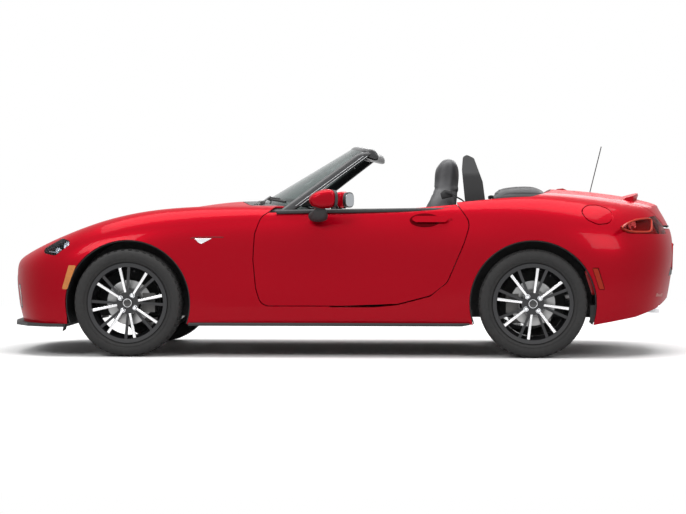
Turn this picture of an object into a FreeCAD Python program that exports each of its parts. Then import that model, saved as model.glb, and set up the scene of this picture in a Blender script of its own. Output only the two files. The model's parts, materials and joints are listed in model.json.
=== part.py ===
# A two-seat open car with its soft top folded, in millimetres, +Z up, nose towards -X, left side at -Y.
# The origin is on the floor under the middle of the length. Shapes are drawn from the front axle and
# every piece is then placed back by the same distance.
import FreeCAD, Part
import math
import os
from FreeCAD import Vector

doc = FreeCAD.newDocument("Roadster")
sheet = doc.addObject("Spreadsheet::Sheet", "sizes")

# The driving sizes: the word that names each, its value, and what it is.
SIZES = [
    ("front_reach", 750, "front axle to the nose"),
    ("wheelbase", 2310, "front axle to rear axle"),
    ("rear_reach", 855, "rear axle to the tail"),
    ("half_width", 867.5, "centre plane to the side"),
    ("shoulder_height", 870, "floor to the top of the door"),
    ("skirt_height", 183, "floor to the lower edge of the body sides"),
    ("front_track", 1495, "between the middles of the front tyres"),
    ("rear_track", 1505, "between the middles of the rear tyres"),
    ("tyre_radius", 308, "axle to tread"),
    ("tyre_width", 205, "over the sidewalls"),
    ("rim_radius", 216, "axle to bead seat"),
    ("rim_width", 190, "over the rim flanges"),
    ("arch_radius", 360, "axle to the edge of the wheel arch"),
    ("liner_radius", 353, "axle to the wheel arch liner"),
    ("panel", 9, "thickness of an outer panel"),
    ("shut_gap", 5, "between a moving panel and its neighbour"),
    ("seat_gap", 0.3, "between a piece and what carries it"),
    ("cabin_half_width", 715, "centre plane to the outside of the tub"),
    ("tub_wall", 12, "floor and walls of the cabin and boot tubs"),
    ("floor_height", 190, "road to the underside of the cabin floor"),
    ("seat_offset", 370, "centre plane to the middle of a seat"),
    ("disc_radius", 129, "brake disc"),
    ("disc_thickness", 20, "brake disc"),
    ("spindle_radius", 30, "wheel bearing bore"),
    ("kingpin_offset", 47, "kingpin to the middle of the tyre"),
    ("pin_radius", 5, "hinge pins"),
    ("lean", 0.16, "how far a door's edge leans in for each distance from its outside"),
    ("frame_depth", 52, "windscreen frame, each way"),
    ("lever_radius", 8, "gear lever"),
    ("seat_width", 500, "over the bolsters"),
    ("hoop_radius", 24, "roll hoop tube with its cover"),
    ("steering_radius", 170, "middle of the steering wheel's rim"),
    ("steering_rim", 30, "thickness of the steering wheel's rim"),
    ("steering_tilt", 24, "degrees that the column rises to the rear"),
    ("mast_radius", 3, "antenna"),
    ("spoke_width", 15, "wheel spoke"),
    ("arm_spread", 120, "half the width of a wishbone at its frame"),
    ("overrun", 60, "how far a cutter passes the piece that it cuts"),
]

for line, (word, value, note) in enumerate(SIZES, 1):
    sheet.set("A%d" % line, word)
    sheet.set("B%d" % line, str(value))
    sheet.set("C%d" % line, note)
    sheet.setAlias("B%d" % line, word)
doc.recompute()


def size(word):
    return float(sheet.get(word))


front_reach = size("front_reach")
wheelbase = size("wheelbase")
rear_reach = size("rear_reach")
half_width = size("half_width")
shoulder = size("shoulder_height")
skirt = size("skirt_height")
panel = size("panel")
shut_gap = size("shut_gap")
seat_gap = size("seat_gap")
overrun = size("overrun")
cabin = size("cabin_half_width")
tub_wall = size("tub_wall")
floor_height = size("floor_height")
tyre_radius = size("tyre_radius")
axle_height = tyre_radius
middle = (wheelbase + rear_reach - front_reach) / 2


def along(share):
    """Distance behind the front axle: -1 at the nose, 0 and 1 at the axles, 2 at the tail."""
    if share < 0:
        return share * front_reach
    if share <= 1:
        return share * wheelbase
    return wheelbase + (share - 1) * rear_reach


def aside(share):
    return share * half_width


def high(share):
    return share * shoulder


def left(share_along, share_aside, share_high):
    return Vector(along(share_along), -aside(share_aside), high(share_high))


def mirrored(shape):
    return shape.mirror(Vector(0, 0, 0), Vector(0, 1, 0))


def both(shape):
    """The piece and its mirror image as one shape."""
    return Part.makeCompound([shape, mirrored(shape)])


def fused(shapes):
    shape = shapes[0]
    for other in shapes[1:]:
        shape = shape.fuse(other)
    return shape.removeSplitter()


def only_solid(shape):
    """The largest solid of a shape that a cut may have left with crumbs."""
    return max(shape.Solids, key=lambda solid: solid.Volume)


finished = []


def keep(label, shape):
    """A sub-part that is a free form or is cut from one."""
    piece = doc.addObject("Part::Feature", label)
    piece.Shape = shape
    back = FreeCAD.Placement(Vector(-middle, 0, 0), FreeCAD.Rotation())
    piece.Placement = back.multiply(shape.Placement)
    piece.Label = label
    finished.append(piece)
    return piece


# Outlines and cutters

def corner(before, point, after, radius):
    """Where a rounded corner starts, its middle, and where it ends."""
    back = (before - point)
    ahead = (after - point)
    angle = back.getAngle(ahead)
    run = min(radius / math.tan(angle / 2), 0.45 * min(back.Length, ahead.Length))
    back.normalize()
    ahead.normalize()
    start = point + back * run
    end = point + ahead * run
    turned = run * math.tan(angle / 2)
    inward = (back + ahead)
    inward.normalize()
    centre = point + inward * (turned / math.sin(angle / 2))
    return start, centre - inward * turned, end


def outline(points, radius):
    """A closed wire of straight runs with its corners rounded."""
    count = len(points)
    edges = []
    bends = [corner(points[i - 1], points[i], points[(i + 1) % count], radius) for i in range(count)]
    for i in range(count):
        start, crown, end = bends[i]
        following = bends[(i + 1) % count][0]
        edges.append(Part.Arc(start, crown, end).toShape())
        if (following - end).Length > seat_gap / 10:
            edges.append(Part.LineSegment(end, following).toShape())
    return Part.Wire(edges)


def grown(flat, gap):
    """A closed outline of (a, b) pairs moved outwards by the gap on every side."""
    area = sum(p[0] * q[1] - q[0] * p[1] for p, q in zip(flat, flat[1:] + flat[:1]))
    side = 1 if area > 0 else -1
    moved = []
    for i, point in enumerate(flat):
        before = flat[i - 1]
        after = flat[(i + 1) % len(flat)]
        first = unit(before, point)
        second = unit(point, after)
        normal = ((first[1] + second[1]) * side, (-first[0] - second[0]) * side)
        scale = gap / (1 + first[0] * second[0] + first[1] * second[1])
        moved.append((point[0] + normal[0] * scale, point[1] + normal[1] * scale))
    return moved


def unit(start, end):
    length = math.hypot(end[0] - start[0], end[1] - start[1])
    return ((end[0] - start[0]) / length, (end[1] - start[1]) / length)


def side_points(shares):
    return [(along(a), high(b)) for a, b in shares]


def plan_points(shares):
    """A plan outline given for the left half, from its front middle to its rear middle."""
    half = [(along(a), -aside(b)) for a, b in shares]
    return half + [(a, -b) for a, b in reversed(half) if b]


def side_prism(flat, radius, near, far):
    """An outline seen from the left, carried from one distance off the centre plane to another."""
    wire = outline([Vector(a, -near, b) for a, b in flat], radius)
    return Part.Face(wire).extrude(Vector(0, near - far, 0))


def leaning_prism(flat, radius, near, far, lean):
    """The same, true to its outline at the skin and narrowing inwards by the lean."""
    skin_place = aside(.93)
    outer = outline([Vector(a, -far, b) for a, b in grown(flat, lean * (far - skin_place))], radius)
    inner = outline([Vector(a, -near, b) for a, b in grown(flat, lean * (near - skin_place))], radius)
    return Part.makeLoft([outer, inner], True, True)


def plan_prism(flat, radius, low, top):
    wire = outline([Vector(a, b, low) for a, b in flat], radius)
    return Part.Face(wire).extrude(Vector(0, 0, top - low))


def block(x, y, z):
    """A box between pairs of places along the three axes."""
    return Part.makeBox(x[1] - x[0], y[1] - y[0], z[1] - z[0], Vector(x[0], y[0], z[0]))


def rod(start, end, radius):
    return Part.makeCylinder(radius, (end - start).Length, start, end - start)


def plate(points, near, far_side):
    """A flat plate with square corners, given by its side view and its two faces."""
    corners = [Vector(a, near, b) for a, b in points]
    return Part.Face(Part.makePolygon(corners + corners[:1])).extrude(Vector(0, far_side - near, 0))


# The body's form is one smooth skin over rows of poles. Each row gives, from the lower edge up the
# side to the shoulder, over the fender and in to the centre line: where it stands, how far out and
# how high, as shares of the length, the half width and the shoulder height.
body_shares = [
    ([-0.93, -0.965, -0.985, -1.0, -1.0, -1.0, -1.0, -1.0, -1.0, -1.0],
     [0] * 10,
     [.17, .27, .36, .45, .52, .575, .60, .60, .60, .60]),
    ([-0.93, -0.965, -0.985, -1.0, -1.0, -1.0, -0.99, -0.97, -0.945, -0.945],
     [.44, .44, .44, .44, .44, .43, .40, .29, .15, 0],
     [.17, .27, .36, .45, .52, .575, .61, .625, .645, .645]),
    ([-0.80, -0.83, -0.84, -0.845, -0.845, -0.84, -0.82, -0.79, -0.75, -0.75],
     [.80, .81, .815, .815, .81, .78, .67, .48, .25, 0],
     [.17, .27, .36, .46, .55, .625, .685, .71, .725, .725]),
    ([-0.52, -0.53, -0.53, -0.53, -0.53, -0.53, -0.52, -0.51, -0.48, -0.48],
     [.94, .955, .96, .96, .95, .915, .79, .55, .28, 0],
     [.17, .27, .37, .48, .60, .72, .81, .80, .815, .815]),
    ([-0.22] * 10,
     [.955, .97, .98, .985, .975, .94, .80, .56, .28, 0],
     [.17, .27, .38, .51, .66, .81, .92, .87, .88, .88]),
    ([0.03] * 10,
     [.955, .97, .98, .985, .98, .945, .80, .56, .28, 0],
     [.17, .27, .38, .53, .69, .86, .985, .925, .93, .93]),
    ([0.13] * 10,
     [.945, .96, .968, .965, .955, .925, .79, .57, .29, 0],
     [.17, .27, .39, .54, .70, .88, 1.01, .955, .985, .985]),
    ([0.25] * 10,
     [.93, .945, .95, .935, .925, .905, .80, .58, .29, 0],
     [.17, .27, .39, .54, .70, .885, 1.01, .985, 1.03, 1.03]),
    ([0.37] * 10,
     [.92, .935, .94, .92, .915, .90, .83, .60, .30, 0],
     [.17, .27, .39, .54, .70, .875, .995, .99, 1.02, 1.02]),
    ([0.50] * 10,
     [.92, .935, .94, .92, .92, .905, .85, .62, .31, 0],
     [.17, .27, .39, .54, .70, .87, .985, 1.0, 1.03, 1.03]),
    ([0.64] * 10,
     [.92, .94, .945, .93, .93, .91, .85, .62, .31, 0],
     [.17, .27, .39, .54, .70, .875, .995, 1.01, 1.04, 1.04]),
    ([0.78] * 10,
     [.925, .945, .955, .95, .955, .92, .84, .61, .31, 0],
     [.17, .27, .39, .54, .71, .90, 1.03, 1.04, 1.06, 1.06]),
    ([0.88] * 10,
     [.935, .96, .975, .98, .985, .94, .83, .60, .30, 0],
     [.17, .27, .39, .54, .72, .92, 1.06, 1.07, 1.085, 1.085]),
    ([1.0] * 10,
     [.945, .975, .995, 1.005, 1.005, .955, .82, .59, .30, 0],
     [.17, .27, .39, .55, .73, .93, 1.08, 1.09, 1.11, 1.11]),
    ([1.22] * 10,
     [.95, .975, .995, 1.005, 1.0, .945, .80, .58, .30, 0],
     [.17, .27, .39, .55, .73, .92, 1.06, 1.085, 1.105, 1.105]),
    ([1.46, 1.46, 1.46, 1.46, 1.46, 1.46, 1.46, 1.48, 1.5, 1.5],
     [.93, .96, .985, .99, .98, .91, .765, .56, .29, 0],
     [.17, .27, .40, .56, .73, .90, 1.025, 1.06, 1.08, 1.08]),
    ([1.72, 1.74, 1.76, 1.78, 1.78, 1.74, 1.68, 1.72, 1.76, 1.76],
     [.80, .84, .87, .88, .86, .79, .70, .53, .28, 0],
     [.17, .28, .42, .58, .73, .88, .985, 1.02, 1.04, 1.04]),
    ([1.90, 1.93, 1.96, 1.985, 1.99, 1.93, 1.86, 1.88, 1.89, 1.89],
     [.48, .50, .52, .53, .54, .56, .56, .42, .23, 0],
     [.17, .30, .44, .60, .74, .88, .97, .99, 1.00, 1.00]),
    ([1.92, 1.95, 1.98, 2.0, 2.0, 2.0, 1.90, 1.90, 1.90, 1.90],
     [0] * 10,
     [.17, .30, .44, .60, .745, .82, .985, .985, .985, .985]),
]


def body_poles(inset):
    """The rows of poles on the left half, moved in from the skin by the inset."""
    rows = [[left(a, b, c) for a, b, c in zip(*row)] for row in body_shares]
    if not inset:
        return rows
    last_row = len(rows) - 1
    last = len(rows[0]) - 1
    moved = []
    for i, row in enumerate(rows):
        moved.append([])
        for j, pole in enumerate(row):
            down = rows[min(i + 1, last_row)][j] - rows[max(i - 1, 0)][j]
            across = row[min(j + 1, last)] - row[max(j - 1, 0)]
            outward = down.cross(across)
            if i in (0, last_row):
                outward = Vector(-1 if i == 0 else 1, 0, 1 if j > 5 else 0)
            if j == last:
                outward.y = 0
            if j == 0:
                outward.z = 0
            outward.normalize()
            moved[i].append(pole - outward * inset)
        moved[i][0].z -= overrun
    return moved


def spline_knots(count):
    """Even knots of a cubic that starts and ends on its outer poles."""
    return [4] + [1] * (count - 4) + [4], [float(knot) for knot in range(count - 2)]


def body_half(inset):
    """The left half of the space inside the skin, closed below and at the centre plane."""
    rows = body_poles(inset)
    down_counts, down_knots = spline_knots(len(rows))
    up_counts, up_knots = spline_knots(len(rows[0]))
    surface = Part.BSplineSurface()
    surface.buildFromPolesMultsKnots(rows, down_counts, up_counts, down_knots, up_knots,
                                     False, False, 3, 3)
    skin_face = surface.toShape()
    keel = Part.makeLine(rows[0][0], rows[-1][0])
    level = rows[0][0].z
    lower = [edge for edge in skin_face.Edges
             if abs(edge.BoundBox.ZMax - level) < seat_gap and edge.BoundBox.YLength > overrun]
    rest = [e for e in skin_face.Edges if not e.isSame(lower[0])]
    bottom = Part.Face(Part.Wire(Part.__sortEdges__([lower[0], keel])))
    centre = Part.Face(Part.Wire(Part.__sortEdges__(rest + [keel])))
    shell = Part.makeShell([skin_face, bottom, centre])
    shell.sewShape()
    solid = Part.makeSolid(shell)
    if solid.Volume < 0:
        solid.reverse()
    return solid


def body_space(inset):
    half = body_half(inset)
    return half.fuse(mirrored(half))


def height_under(space, x, y):
    """How high a body space reaches at a place in plan."""
    return space.common(Part.makeLine(Vector(x, y, 0), Vector(x, y, high(2)))).BoundBox.ZMax


outside = body_space(0)
inside = body_space(panel)
skin = outside.cut(inside)

# Where the skin is split into panels. Side outlines are shares of the length and the shoulder height,
# plan outlines shares of the length and the half width.
bonnet_shares = [(-.84, 0), (-.82, .30), (-.72, .50), (-.50, .60), (-.10, .66), (.20, .715), (.305, .74),
                 (.285, .52), (.262, .25), (.255, 0)]
cockpit_shares = [(.318, 0), (.326, .25), (.35, .52), (.388, .74), (.42, .824), (.86, .824), (1.0, .80),
                  (1.08, .72), (1.13, .52), (1.145, .26)]
boot_lid_shares = [(1.30, .40), (1.34, .57), (1.60, .62), (1.80, .58), (1.90, .50), (2.2, .46)]
door_shares = [(.358, 1.15), (.356, .985), (.327, .923), (.3133, .809), (.3106, .639), (.3186, .453),
               (.332, .339), (.534, .339), (.668, .354), (.749, .411), (.788, .496), (.829, .753),
               (.845, .880), (.818, 1.002), (.81, 1.15)]
front_bumper_shares = [(-1.2, .10), (-.47, .10), (-.47, .40), (-.33, .62), (-.245, .721),
                       (-.30, .734), (-.427, .755), (-.712, .692), (-.86, .72), (-1.2, .72)]
rear_bumper_shares = [(1.40, .10), (1.40, .56), (1.30, .64), (1.36, .668), (1.44, .712), (1.585, .86),
                      (1.66, .835), (2.2, .835), (2.2, .10)]
headlamp_shares = [(-.72, .684), (-.53, .776), (-.427, .755), (-.567, .662)]
front_marker_shares = [(-.453, .60), (-.395, .60), (-.464, .443), (-.507, .443)]
rear_marker_shares = [(1.387, .59), (1.43, .59), (1.474, .447), (1.435, .447)]
tail_lamp_shares = [(1.557, .847), (1.665, .90), (1.83, .925), (2.1, .925), (2.1, .80), (1.634, .81)]
fuel_flap_shares = [(1.32, .945), (1.36, .995), (1.43, 1.01), (1.50, .995), (1.54, .945), (1.50, .90),
                    (1.43, .882), (1.36, .90)]
sill_shares = [(.08, .10), (.08, .327), (.61, .327), (.668, .342), (.749, .399), (.778, .466),
               (.92, .466), (.92, .10)]
mouth_shares = [(.42, .29), (.52, .36), (.48, .46), (.34, .53)]

far = half_width + overrun
door_flat = side_points(door_shares)
door_radius = high(.10)
corner_radius = high(.03)
lean = size("lean")
bonnet_flat = plan_points(bonnet_shares)
cockpit_flat = plan_points(cockpit_shares)
boot_lid_flat = plan_points(boot_lid_shares)
roof_height = high(1.5)
belly_height = high(.5)

door_space = leaning_prism(door_flat, door_radius, cabin + shut_gap * 4, far, lean)
door_opening = leaning_prism(grown(door_flat, shut_gap), door_radius - shut_gap, cabin - overrun, far, lean)
bonnet_space = plan_prism(grown(bonnet_flat, -shut_gap * .3), corner_radius, belly_height, roof_height)
bonnet_opening = plan_prism(grown(bonnet_flat, shut_gap), corner_radius, belly_height, roof_height)
boot_space = plan_prism(boot_lid_flat, corner_radius, high(.86), roof_height)
boot_opening = plan_prism(grown(boot_lid_flat, shut_gap), corner_radius, high(.86) - shut_gap, roof_height)
cockpit_space = plan_prism(cockpit_flat, high(.06), belly_height, roof_height)
flap_flat = side_points(fuel_flap_shares)
flap_aim = Vector(0, -.656, -.755)
flap_axis = Vector(along(1.3442), -aside(.8687), high(.9414))


def flap_prism(flat):
    """Square through the skin at the flap, true to its outline as seen from the side."""
    slope = flap_aim.y / flap_aim.z
    outward = Vector(0, flap_aim.z, -flap_aim.y) * panel * 4
    wire = outline([Vector(a, flap_axis.y + (b - flap_axis.z) * slope, b) for a, b in flat], high(.06))
    face = Part.Face(wire)
    face.translate(-outward)
    return face.extrude(outward * 2)


flap_space = flap_prism(flap_flat)
flap_opening = flap_prism(grown(flap_flat, shut_gap))
headlamp_space = side_prism(side_points(headlamp_shares), corner_radius, aside(.45), far)
tail_lamp_space = side_prism(side_points(tail_lamp_shares), corner_radius, aside(.52), far)
front_marker_space = side_prism(side_points(front_marker_shares), corner_radius / 4, aside(.45), far)
rear_marker_space = side_prism(side_points(rear_marker_shares), corner_radius / 4, aside(.45), far)
sill_space = side_prism(side_points(sill_shares), corner_radius, cabin, far)
front_bumper_space = side_prism(side_points(front_bumper_shares), corner_radius, -far, far)
rear_bumper_space = side_prism(side_points(rear_bumper_shares), corner_radius, -far, far)
mouth_flat = [(-aside(a), high(b)) for a, b in mouth_shares]
mouth_flat = mouth_flat + [(-a, b) for a, b in reversed(mouth_flat) if a]
mouth_wire = outline([Vector(along(-1.2), a, b) for a, b in mouth_flat], high(.05))
mouth_space = Part.Face(mouth_wire).extrude(Vector(along(.1) - along(-1.2), 0, 0))
keel_shares = [(-1.3, -.2), (-1.3, .215), (1.40, .215), (1.69, .265), (1.835, .312), (1.93, .367), (2.3, .39),
               (2.3, -.2)]
keel_space = side_prism(side_points(keel_shares), panel, -far, far)
front_arch = both(rod(Vector(0, -far, axle_height), Vector(0, -aside(.5), axle_height), size("arch_radius")))
rear_arch = both(rod(Vector(wheelbase, -far, axle_height), Vector(wheelbase, -aside(.5), axle_height),
                     size("arch_radius")))


arches = front_arch.fuse(rear_arch)
lamp_spaces = both(headlamp_space.fuse(tail_lamp_space).fuse(front_marker_space).fuse(rear_marker_space))
hull = skin.cut(keel_space).cut(arches).cut(cockpit_space).cut(lamp_spaces)
hull = hull.cut(bonnet_opening).cut(boot_opening).cut(flap_opening)
hull = hull.cut(both(door_opening)).cut(both(sill_space))
front_zone = block((along(-1.3), along(.5)), (-far, far), (0, roof_height))
left_zone = block((along(-1.3), along(2.3)), (-far, 0), (0, roof_height))
cowl_flat = plan_points([(.24, 0), (.262, .25), (.285, .52), (.305, .70), (.36, .70), (.40, .75), (.42, .20)])
cowl_space = plan_prism(grown(cowl_flat, shut_gap), corner_radius, belly_height, roof_height)

front_hull = hull.common(front_zone)
rear_hull = hull.cut(front_zone)
front_wings = front_hull.cut(front_bumper_space)
fender_left = only_solid(front_wings.cut(cowl_space).common(left_zone))
# The door's lower front corner swings in behind the fender's edge
door_relief = block((along(.326), along(.348)), (-aside(.9365), -aside(.90)), (high(.32), high(.36)))
fender_left = only_solid(fender_left.cut(door_relief))
front_bumper = only_solid(front_hull.common(front_bumper_space).cut(mouth_space))
cowl = only_solid(front_wings.common(cowl_space))
rear_body = only_solid(rear_hull.cut(rear_bumper_space))
rear_bumper = only_solid(rear_hull.common(rear_bumper_space))

keep("fender_left", fender_left)
keep("fender_right", mirrored(fender_left))
keep("front_bumper", front_bumper)
keep("cowl", cowl)
keep("rear_bumper", rear_bumper)

# Under the panels: cabin tub, rear shelf, boot tub, wheel arch liners
tub_front = along(.275)
tub_rear = along(.832)
tub_top = high(.93)
cabin_outer = block((tub_front, tub_rear), (-cabin, cabin), (floor_height, tub_top))
cabin_inner = block((tub_front + tub_wall, tub_rear - tub_wall), (tub_wall - cabin, cabin - tub_wall),
                    (floor_height + tub_wall, roof_height))
doorway = both(side_prism(grown(door_flat, -shut_gap), door_radius, cabin - overrun, far))
tunnel = block((tub_front, tub_rear), (-aside(.13), aside(.13)), (floor_height, high(.42)))
tunnel = tunnel.cut(block((0, tub_rear + overrun), (tub_wall - aside(.13), aside(.13) - tub_wall),
                          (0, high(.42) - tub_wall)))
cabin_tub = cabin_outer.cut(cabin_inner).cut(doorway).fuse(tunnel)
cabin_tub = cabin_tub.common(inside)
shelf_flat = grown(cockpit_flat, -shut_gap)
shelf_space = plan_prism(shelf_flat, high(.06), high(.915), high(.93))
shelf = shelf_space.common(block((tub_rear - tub_wall, along(1.3)), (-far, far), (0, roof_height)))
boot_front = along(1.16)
boot_rear = along(1.86)
boot_half = aside(.60)
boot_outer = block((boot_front, boot_rear), (-boot_half, boot_half), (high(.44), roof_height))
boot_inner = block((boot_front + tub_wall, boot_rear - tub_wall), (tub_wall - boot_half, boot_half - tub_wall),
                   (high(.44) + tub_wall, roof_height))
boot_tub = boot_outer.cut(boot_inner).cut(shelf).common(body_space(panel + shut_gap * 1.6))
rail_low = high(.36)
rail_top = high(.44)
rail_outer = aside(.43)
rail_inner = aside(.36)
shaft_space = rod(Vector(wheelbase, -far, axle_height), Vector(wheelbase, 0, axle_height), panel * 2.8)
rear_rail = block((tub_rear, along(1.45)), (-rail_outer, -rail_inner), (rail_low, rail_top)).cut(shaft_space)
front_rail = block((along(-.84), tub_front), (-rail_outer, -rail_inner), (rail_low, rail_top))
beam = block((along(-.84), along(-.80)), (-rail_outer, rail_outer), (rail_low, rail_top))
liner_inner = aside(.52)
tower = block((-aside(.08), aside(.08)), (-liner_inner, -rail_inner), (rail_low, high(.78)))


def arch_liner(axle, near):
    ring = rod(Vector(axle, -far, axle_height), Vector(axle, -near, axle_height), size("liner_radius") + panel / 2)
    ring = ring.cut(rod(Vector(axle, -far - overrun, axle_height), Vector(axle, -near + overrun, axle_height),
                        size("liner_radius")))
    wall = rod(Vector(axle, -near - panel / 2, axle_height), Vector(axle, -near, axle_height),
               size("liner_radius") + panel / 4)
    wall = wall.common(block((axle - far, axle + far), (-far, 0), (high(.25), roof_height)))
    wall = wall.cut(rod(Vector(axle, -far, axle_height), Vector(axle, 0, axle_height), panel * 5))
    ring = ring.common(block((axle - far, axle + far), (-far, 0), (floor_height, roof_height)))
    return only_solid(ring.fuse(wall).common(inside))


rear_liner = arch_liner(wheelbase, aside(.60))
front_liner = arch_liner(0, liner_inner)
# Hinges: the arms of the doors stand on the tub, and each moving panel turns about pins
pin = size("pin_radius")
eye = pin * 1.65
arm_half = pin * 1.6
pin_slot = arm_half * 2.1
door_axis = (Vector(along(.342), -aside(.916), high(.46)), Vector(along(.342), -aside(.9001), high(.713)))
door_aim = (door_axis[1] - door_axis[0]).normalize()
bonnet_axis = Vector(along(.312), aside(.645), height_under(inside, along(.312), aside(.645)) - pin * 2.4)
boot_axis = Vector(along(1.2117), aside(.30), height_under(inside, along(1.2117), aside(.30)) - pin * 3.2)


def door_arm(place):
    """Out of the pillar's side, round the door's front edge and out to the pin."""
    levels = (place.z - arm_half, place.z + arm_half)
    along_tub = block((along(.284), place.x + arm_half), (-cabin - arm_half * 2, -cabin), levels)
    reach = block((place.x - arm_half, place.x + arm_half), (place.y, -cabin - arm_half), levels)
    ring = rod(place - door_aim * arm_half, place + door_aim * arm_half, eye)
    bore = rod(place - door_aim * pin_slot, place + door_aim * pin_slot, pin + seat_gap)
    return fused([along_tub, reach, ring]).cut(bore)


panel_middle = body_space(panel / 2)


def with_pins(door):
    for place in door_axis:
        slot = block((along(.29), place.x + eye * 2.2), (-far, -cabin), (place.z - pin_slot, place.z + pin_slot))
        slot = slot.common(panel_middle)
        door = door.cut(slot).fuse(rod(place - door_aim * pin_slot * 1.1, place + door_aim * pin_slot * 1.1, pin))
    return only_solid(door)


def gooseneck(axis, towards, radius):
    """An arm that hangs below its pin, so that it clears the edge of the fixed panel as it swings."""
    shares = [(-.25, .05), (-.10, -.30), (.24, -1.22), (1.85, -1.22), (1.95, 1.5), (1.62, 1.5), (1.55, -.88),
              (.46, -.88), (.10, .02)]
    side = [(axis.x + towards * a * radius, axis.z + b * radius) for a, b in shares]
    arm_plate = plate(side, axis.y - arm_half, axis.y + arm_half)
    ring = rod(axis - Vector(0, arm_half, 0), axis + Vector(0, arm_half, 0), eye)
    bore = rod(axis - Vector(0, pin_slot, 0), axis + Vector(0, pin_slot, 0), pin + seat_gap)
    return arm_plate.fuse(ring).cut(bore).common(panel_middle)


pin_reach = Vector(0, arm_half, 0)
bonnet_bracket_side = [(along(.276), tub_top - tub_wall), (along(.279), tub_top - tub_wall),
                       (bonnet_axis.x + eye, bonnet_axis.z - eye), (bonnet_axis.x + eye, bonnet_axis.z + pin),
                       (bonnet_axis.x - eye, bonnet_axis.z + pin), (along(.276), tub_top + tub_wall)]
bonnet_bracket = plate(bonnet_bracket_side, bonnet_axis.y + arm_half + seat_gap * 4,
                       bonnet_axis.y + arm_half * 2)
bonnet_bracket = bonnet_bracket.fuse(rod(bonnet_axis - pin_reach, bonnet_axis + pin_reach * 1.9, pin))
boot_bracket = block((boot_front, boot_axis.x + eye), (boot_axis.y + arm_half + seat_gap * 4,
                                                       boot_axis.y + arm_half * 2),
                     (boot_axis.z - eye, boot_axis.z + eye))
boot_bracket = boot_bracket.fuse(rod(boot_axis - pin_reach, boot_axis + pin_reach * 1.9, pin))
flap_pin = rod(flap_axis - flap_aim * pin * 8, flap_axis + flap_aim * pin * 8, pin / 2)
flap_bore = rod(flap_axis - flap_aim * pin * 8.2, flap_axis + flap_aim * pin * 8.2, pin / 2 + seat_gap)

keep("hinges", both(Part.makeCompound([door_arm(place) for place in door_axis])))
keep("rear_body", only_solid(rear_body.cut(flap_bore)))

# Moving panels
bonnet_arm = gooseneck(bonnet_axis, -1, pin * 6.8)
bonnet = fused([only_solid(skin.common(bonnet_space)), bonnet_arm, mirrored(bonnet_arm)])
keep("bonnet", bonnet)
lid_arm = gooseneck(boot_axis, 1, pin * 16.3)
boot_lid = fused([only_solid(skin.common(boot_space)), lid_arm, mirrored(lid_arm)])
keep("boot_lid", boot_lid)
lip_shares = ((-.50, 1.60, 1.025), (-.30, 1.645, 1.04), (0, 1.66, 1.045), (.30, 1.645, 1.04), (.50, 1.60, 1.025))
lip_rings = []
for out, front, root in lip_shares:
    lip = [(front, root - .03), (front, root + .002), (front + .05, root + .022), (front + .092, root + .034),
           (front + .096, root + .020), (front + .085, root - .012), (front + .07, root - .06)]
    ring = [Vector(along(a), aside(out), high(b)) for a, b in lip]
    lip_rings.append(Part.makePolygon(ring + ring[:1]))
keep("boot_lip", only_solid(Part.makeLoft(lip_rings, True, False).cut(outside)))
pod_shares = [(1.165, 1.06), (1.165, 1.088), (1.195, 1.108), (1.235, 1.112), (1.268, 1.098), (1.27, 1.06)]
pod = side_prism(side_points(pod_shares), panel, -aside(.13), aside(.13))
pod_plan = [(along(1.10), 0), (along(1.29), -aside(.12)), (along(1.29), aside(.12))]
pod = pod.common(plan_prism(pod_plan, panel * 2, belly_height, roof_height)).cut(outside)
keep("high_brake_lamp", only_solid(pod))
keep("fuel_flap", only_solid(skin.common(flap_space)).fuse(flap_pin))
door_left = with_pins(only_solid(outside.common(door_space)))
keep("door_left", door_left)
keep("door_right", mirrored(door_left))
handle_shares = [(.700, .905), (.712, .925), (.785, .925), (.795, .905), (.785, .885), (.712, .885)]
handle_space = side_prism(side_points(handle_shares), high(.015), aside(.85), far)
handle_skin = body_half(-panel * 2)
handle = only_solid(handle_space.common(handle_skin).cut(outside))
keep("handle_left", handle)
keep("handle_right", mirrored(handle))

# Lamps and sills
keep("headlamps", both(only_solid(skin.common(headlamp_space))))
keep("front_markers", both(only_solid(skin.common(front_marker_space))))
tail_lamp = only_solid(skin.common(tail_lamp_space).cut(boot_opening))
rear_marker = only_solid(skin.common(rear_marker_space))
keep("tail_lamps", Part.makeCompound([tail_lamp, rear_marker, mirrored(tail_lamp), mirrored(rear_marker)]))
sill = only_solid(outside.common(sill_space).cut(keel_space).cut(arches))
keep("sills", both(sill))

keep("cabin_tub", fused([cabin_tub, shelf, bonnet_bracket, mirrored(bonnet_bracket)]))
keep("front_frame", fused([beam, front_rail, tower, mirrored(front_rail), mirrored(tower)]))
keep("boot_tub", fused([boot_tub, rear_rail, mirrored(rear_rail), boot_bracket, mirrored(boot_bracket)]))
keep("arch_liners", Part.makeCompound(both(front_liner).Solids + both(rear_liner).Solids))

# Power train
engine = block((along(-.08), along(.19)), (-aside(.25), aside(.25)), (high(.28) + seat_gap, high(.80)))
keep("engine", engine)
radiator = block((along(-.88), along(-.84) - seat_gap), (-aside(.38), aside(.38)), (high(.25), high(.58)))
keep("radiator", radiator)

# Windscreen
pillar_foot = Vector(along(.392), -aside(.807), high(.978))
pillar_head = Vector(along(.581), -aside(.634), high(1.355))
glass_foot = Vector(along(.3095), 0, high(1.02))
glass_head = Vector(along(.536), 0, high(1.38))
glass_thickness = size("panel") / 2


def across_arc(side_point, middle_point):
    return Part.Arc(side_point, middle_point, Vector(side_point.x, -side_point.y, side_point.z))


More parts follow.
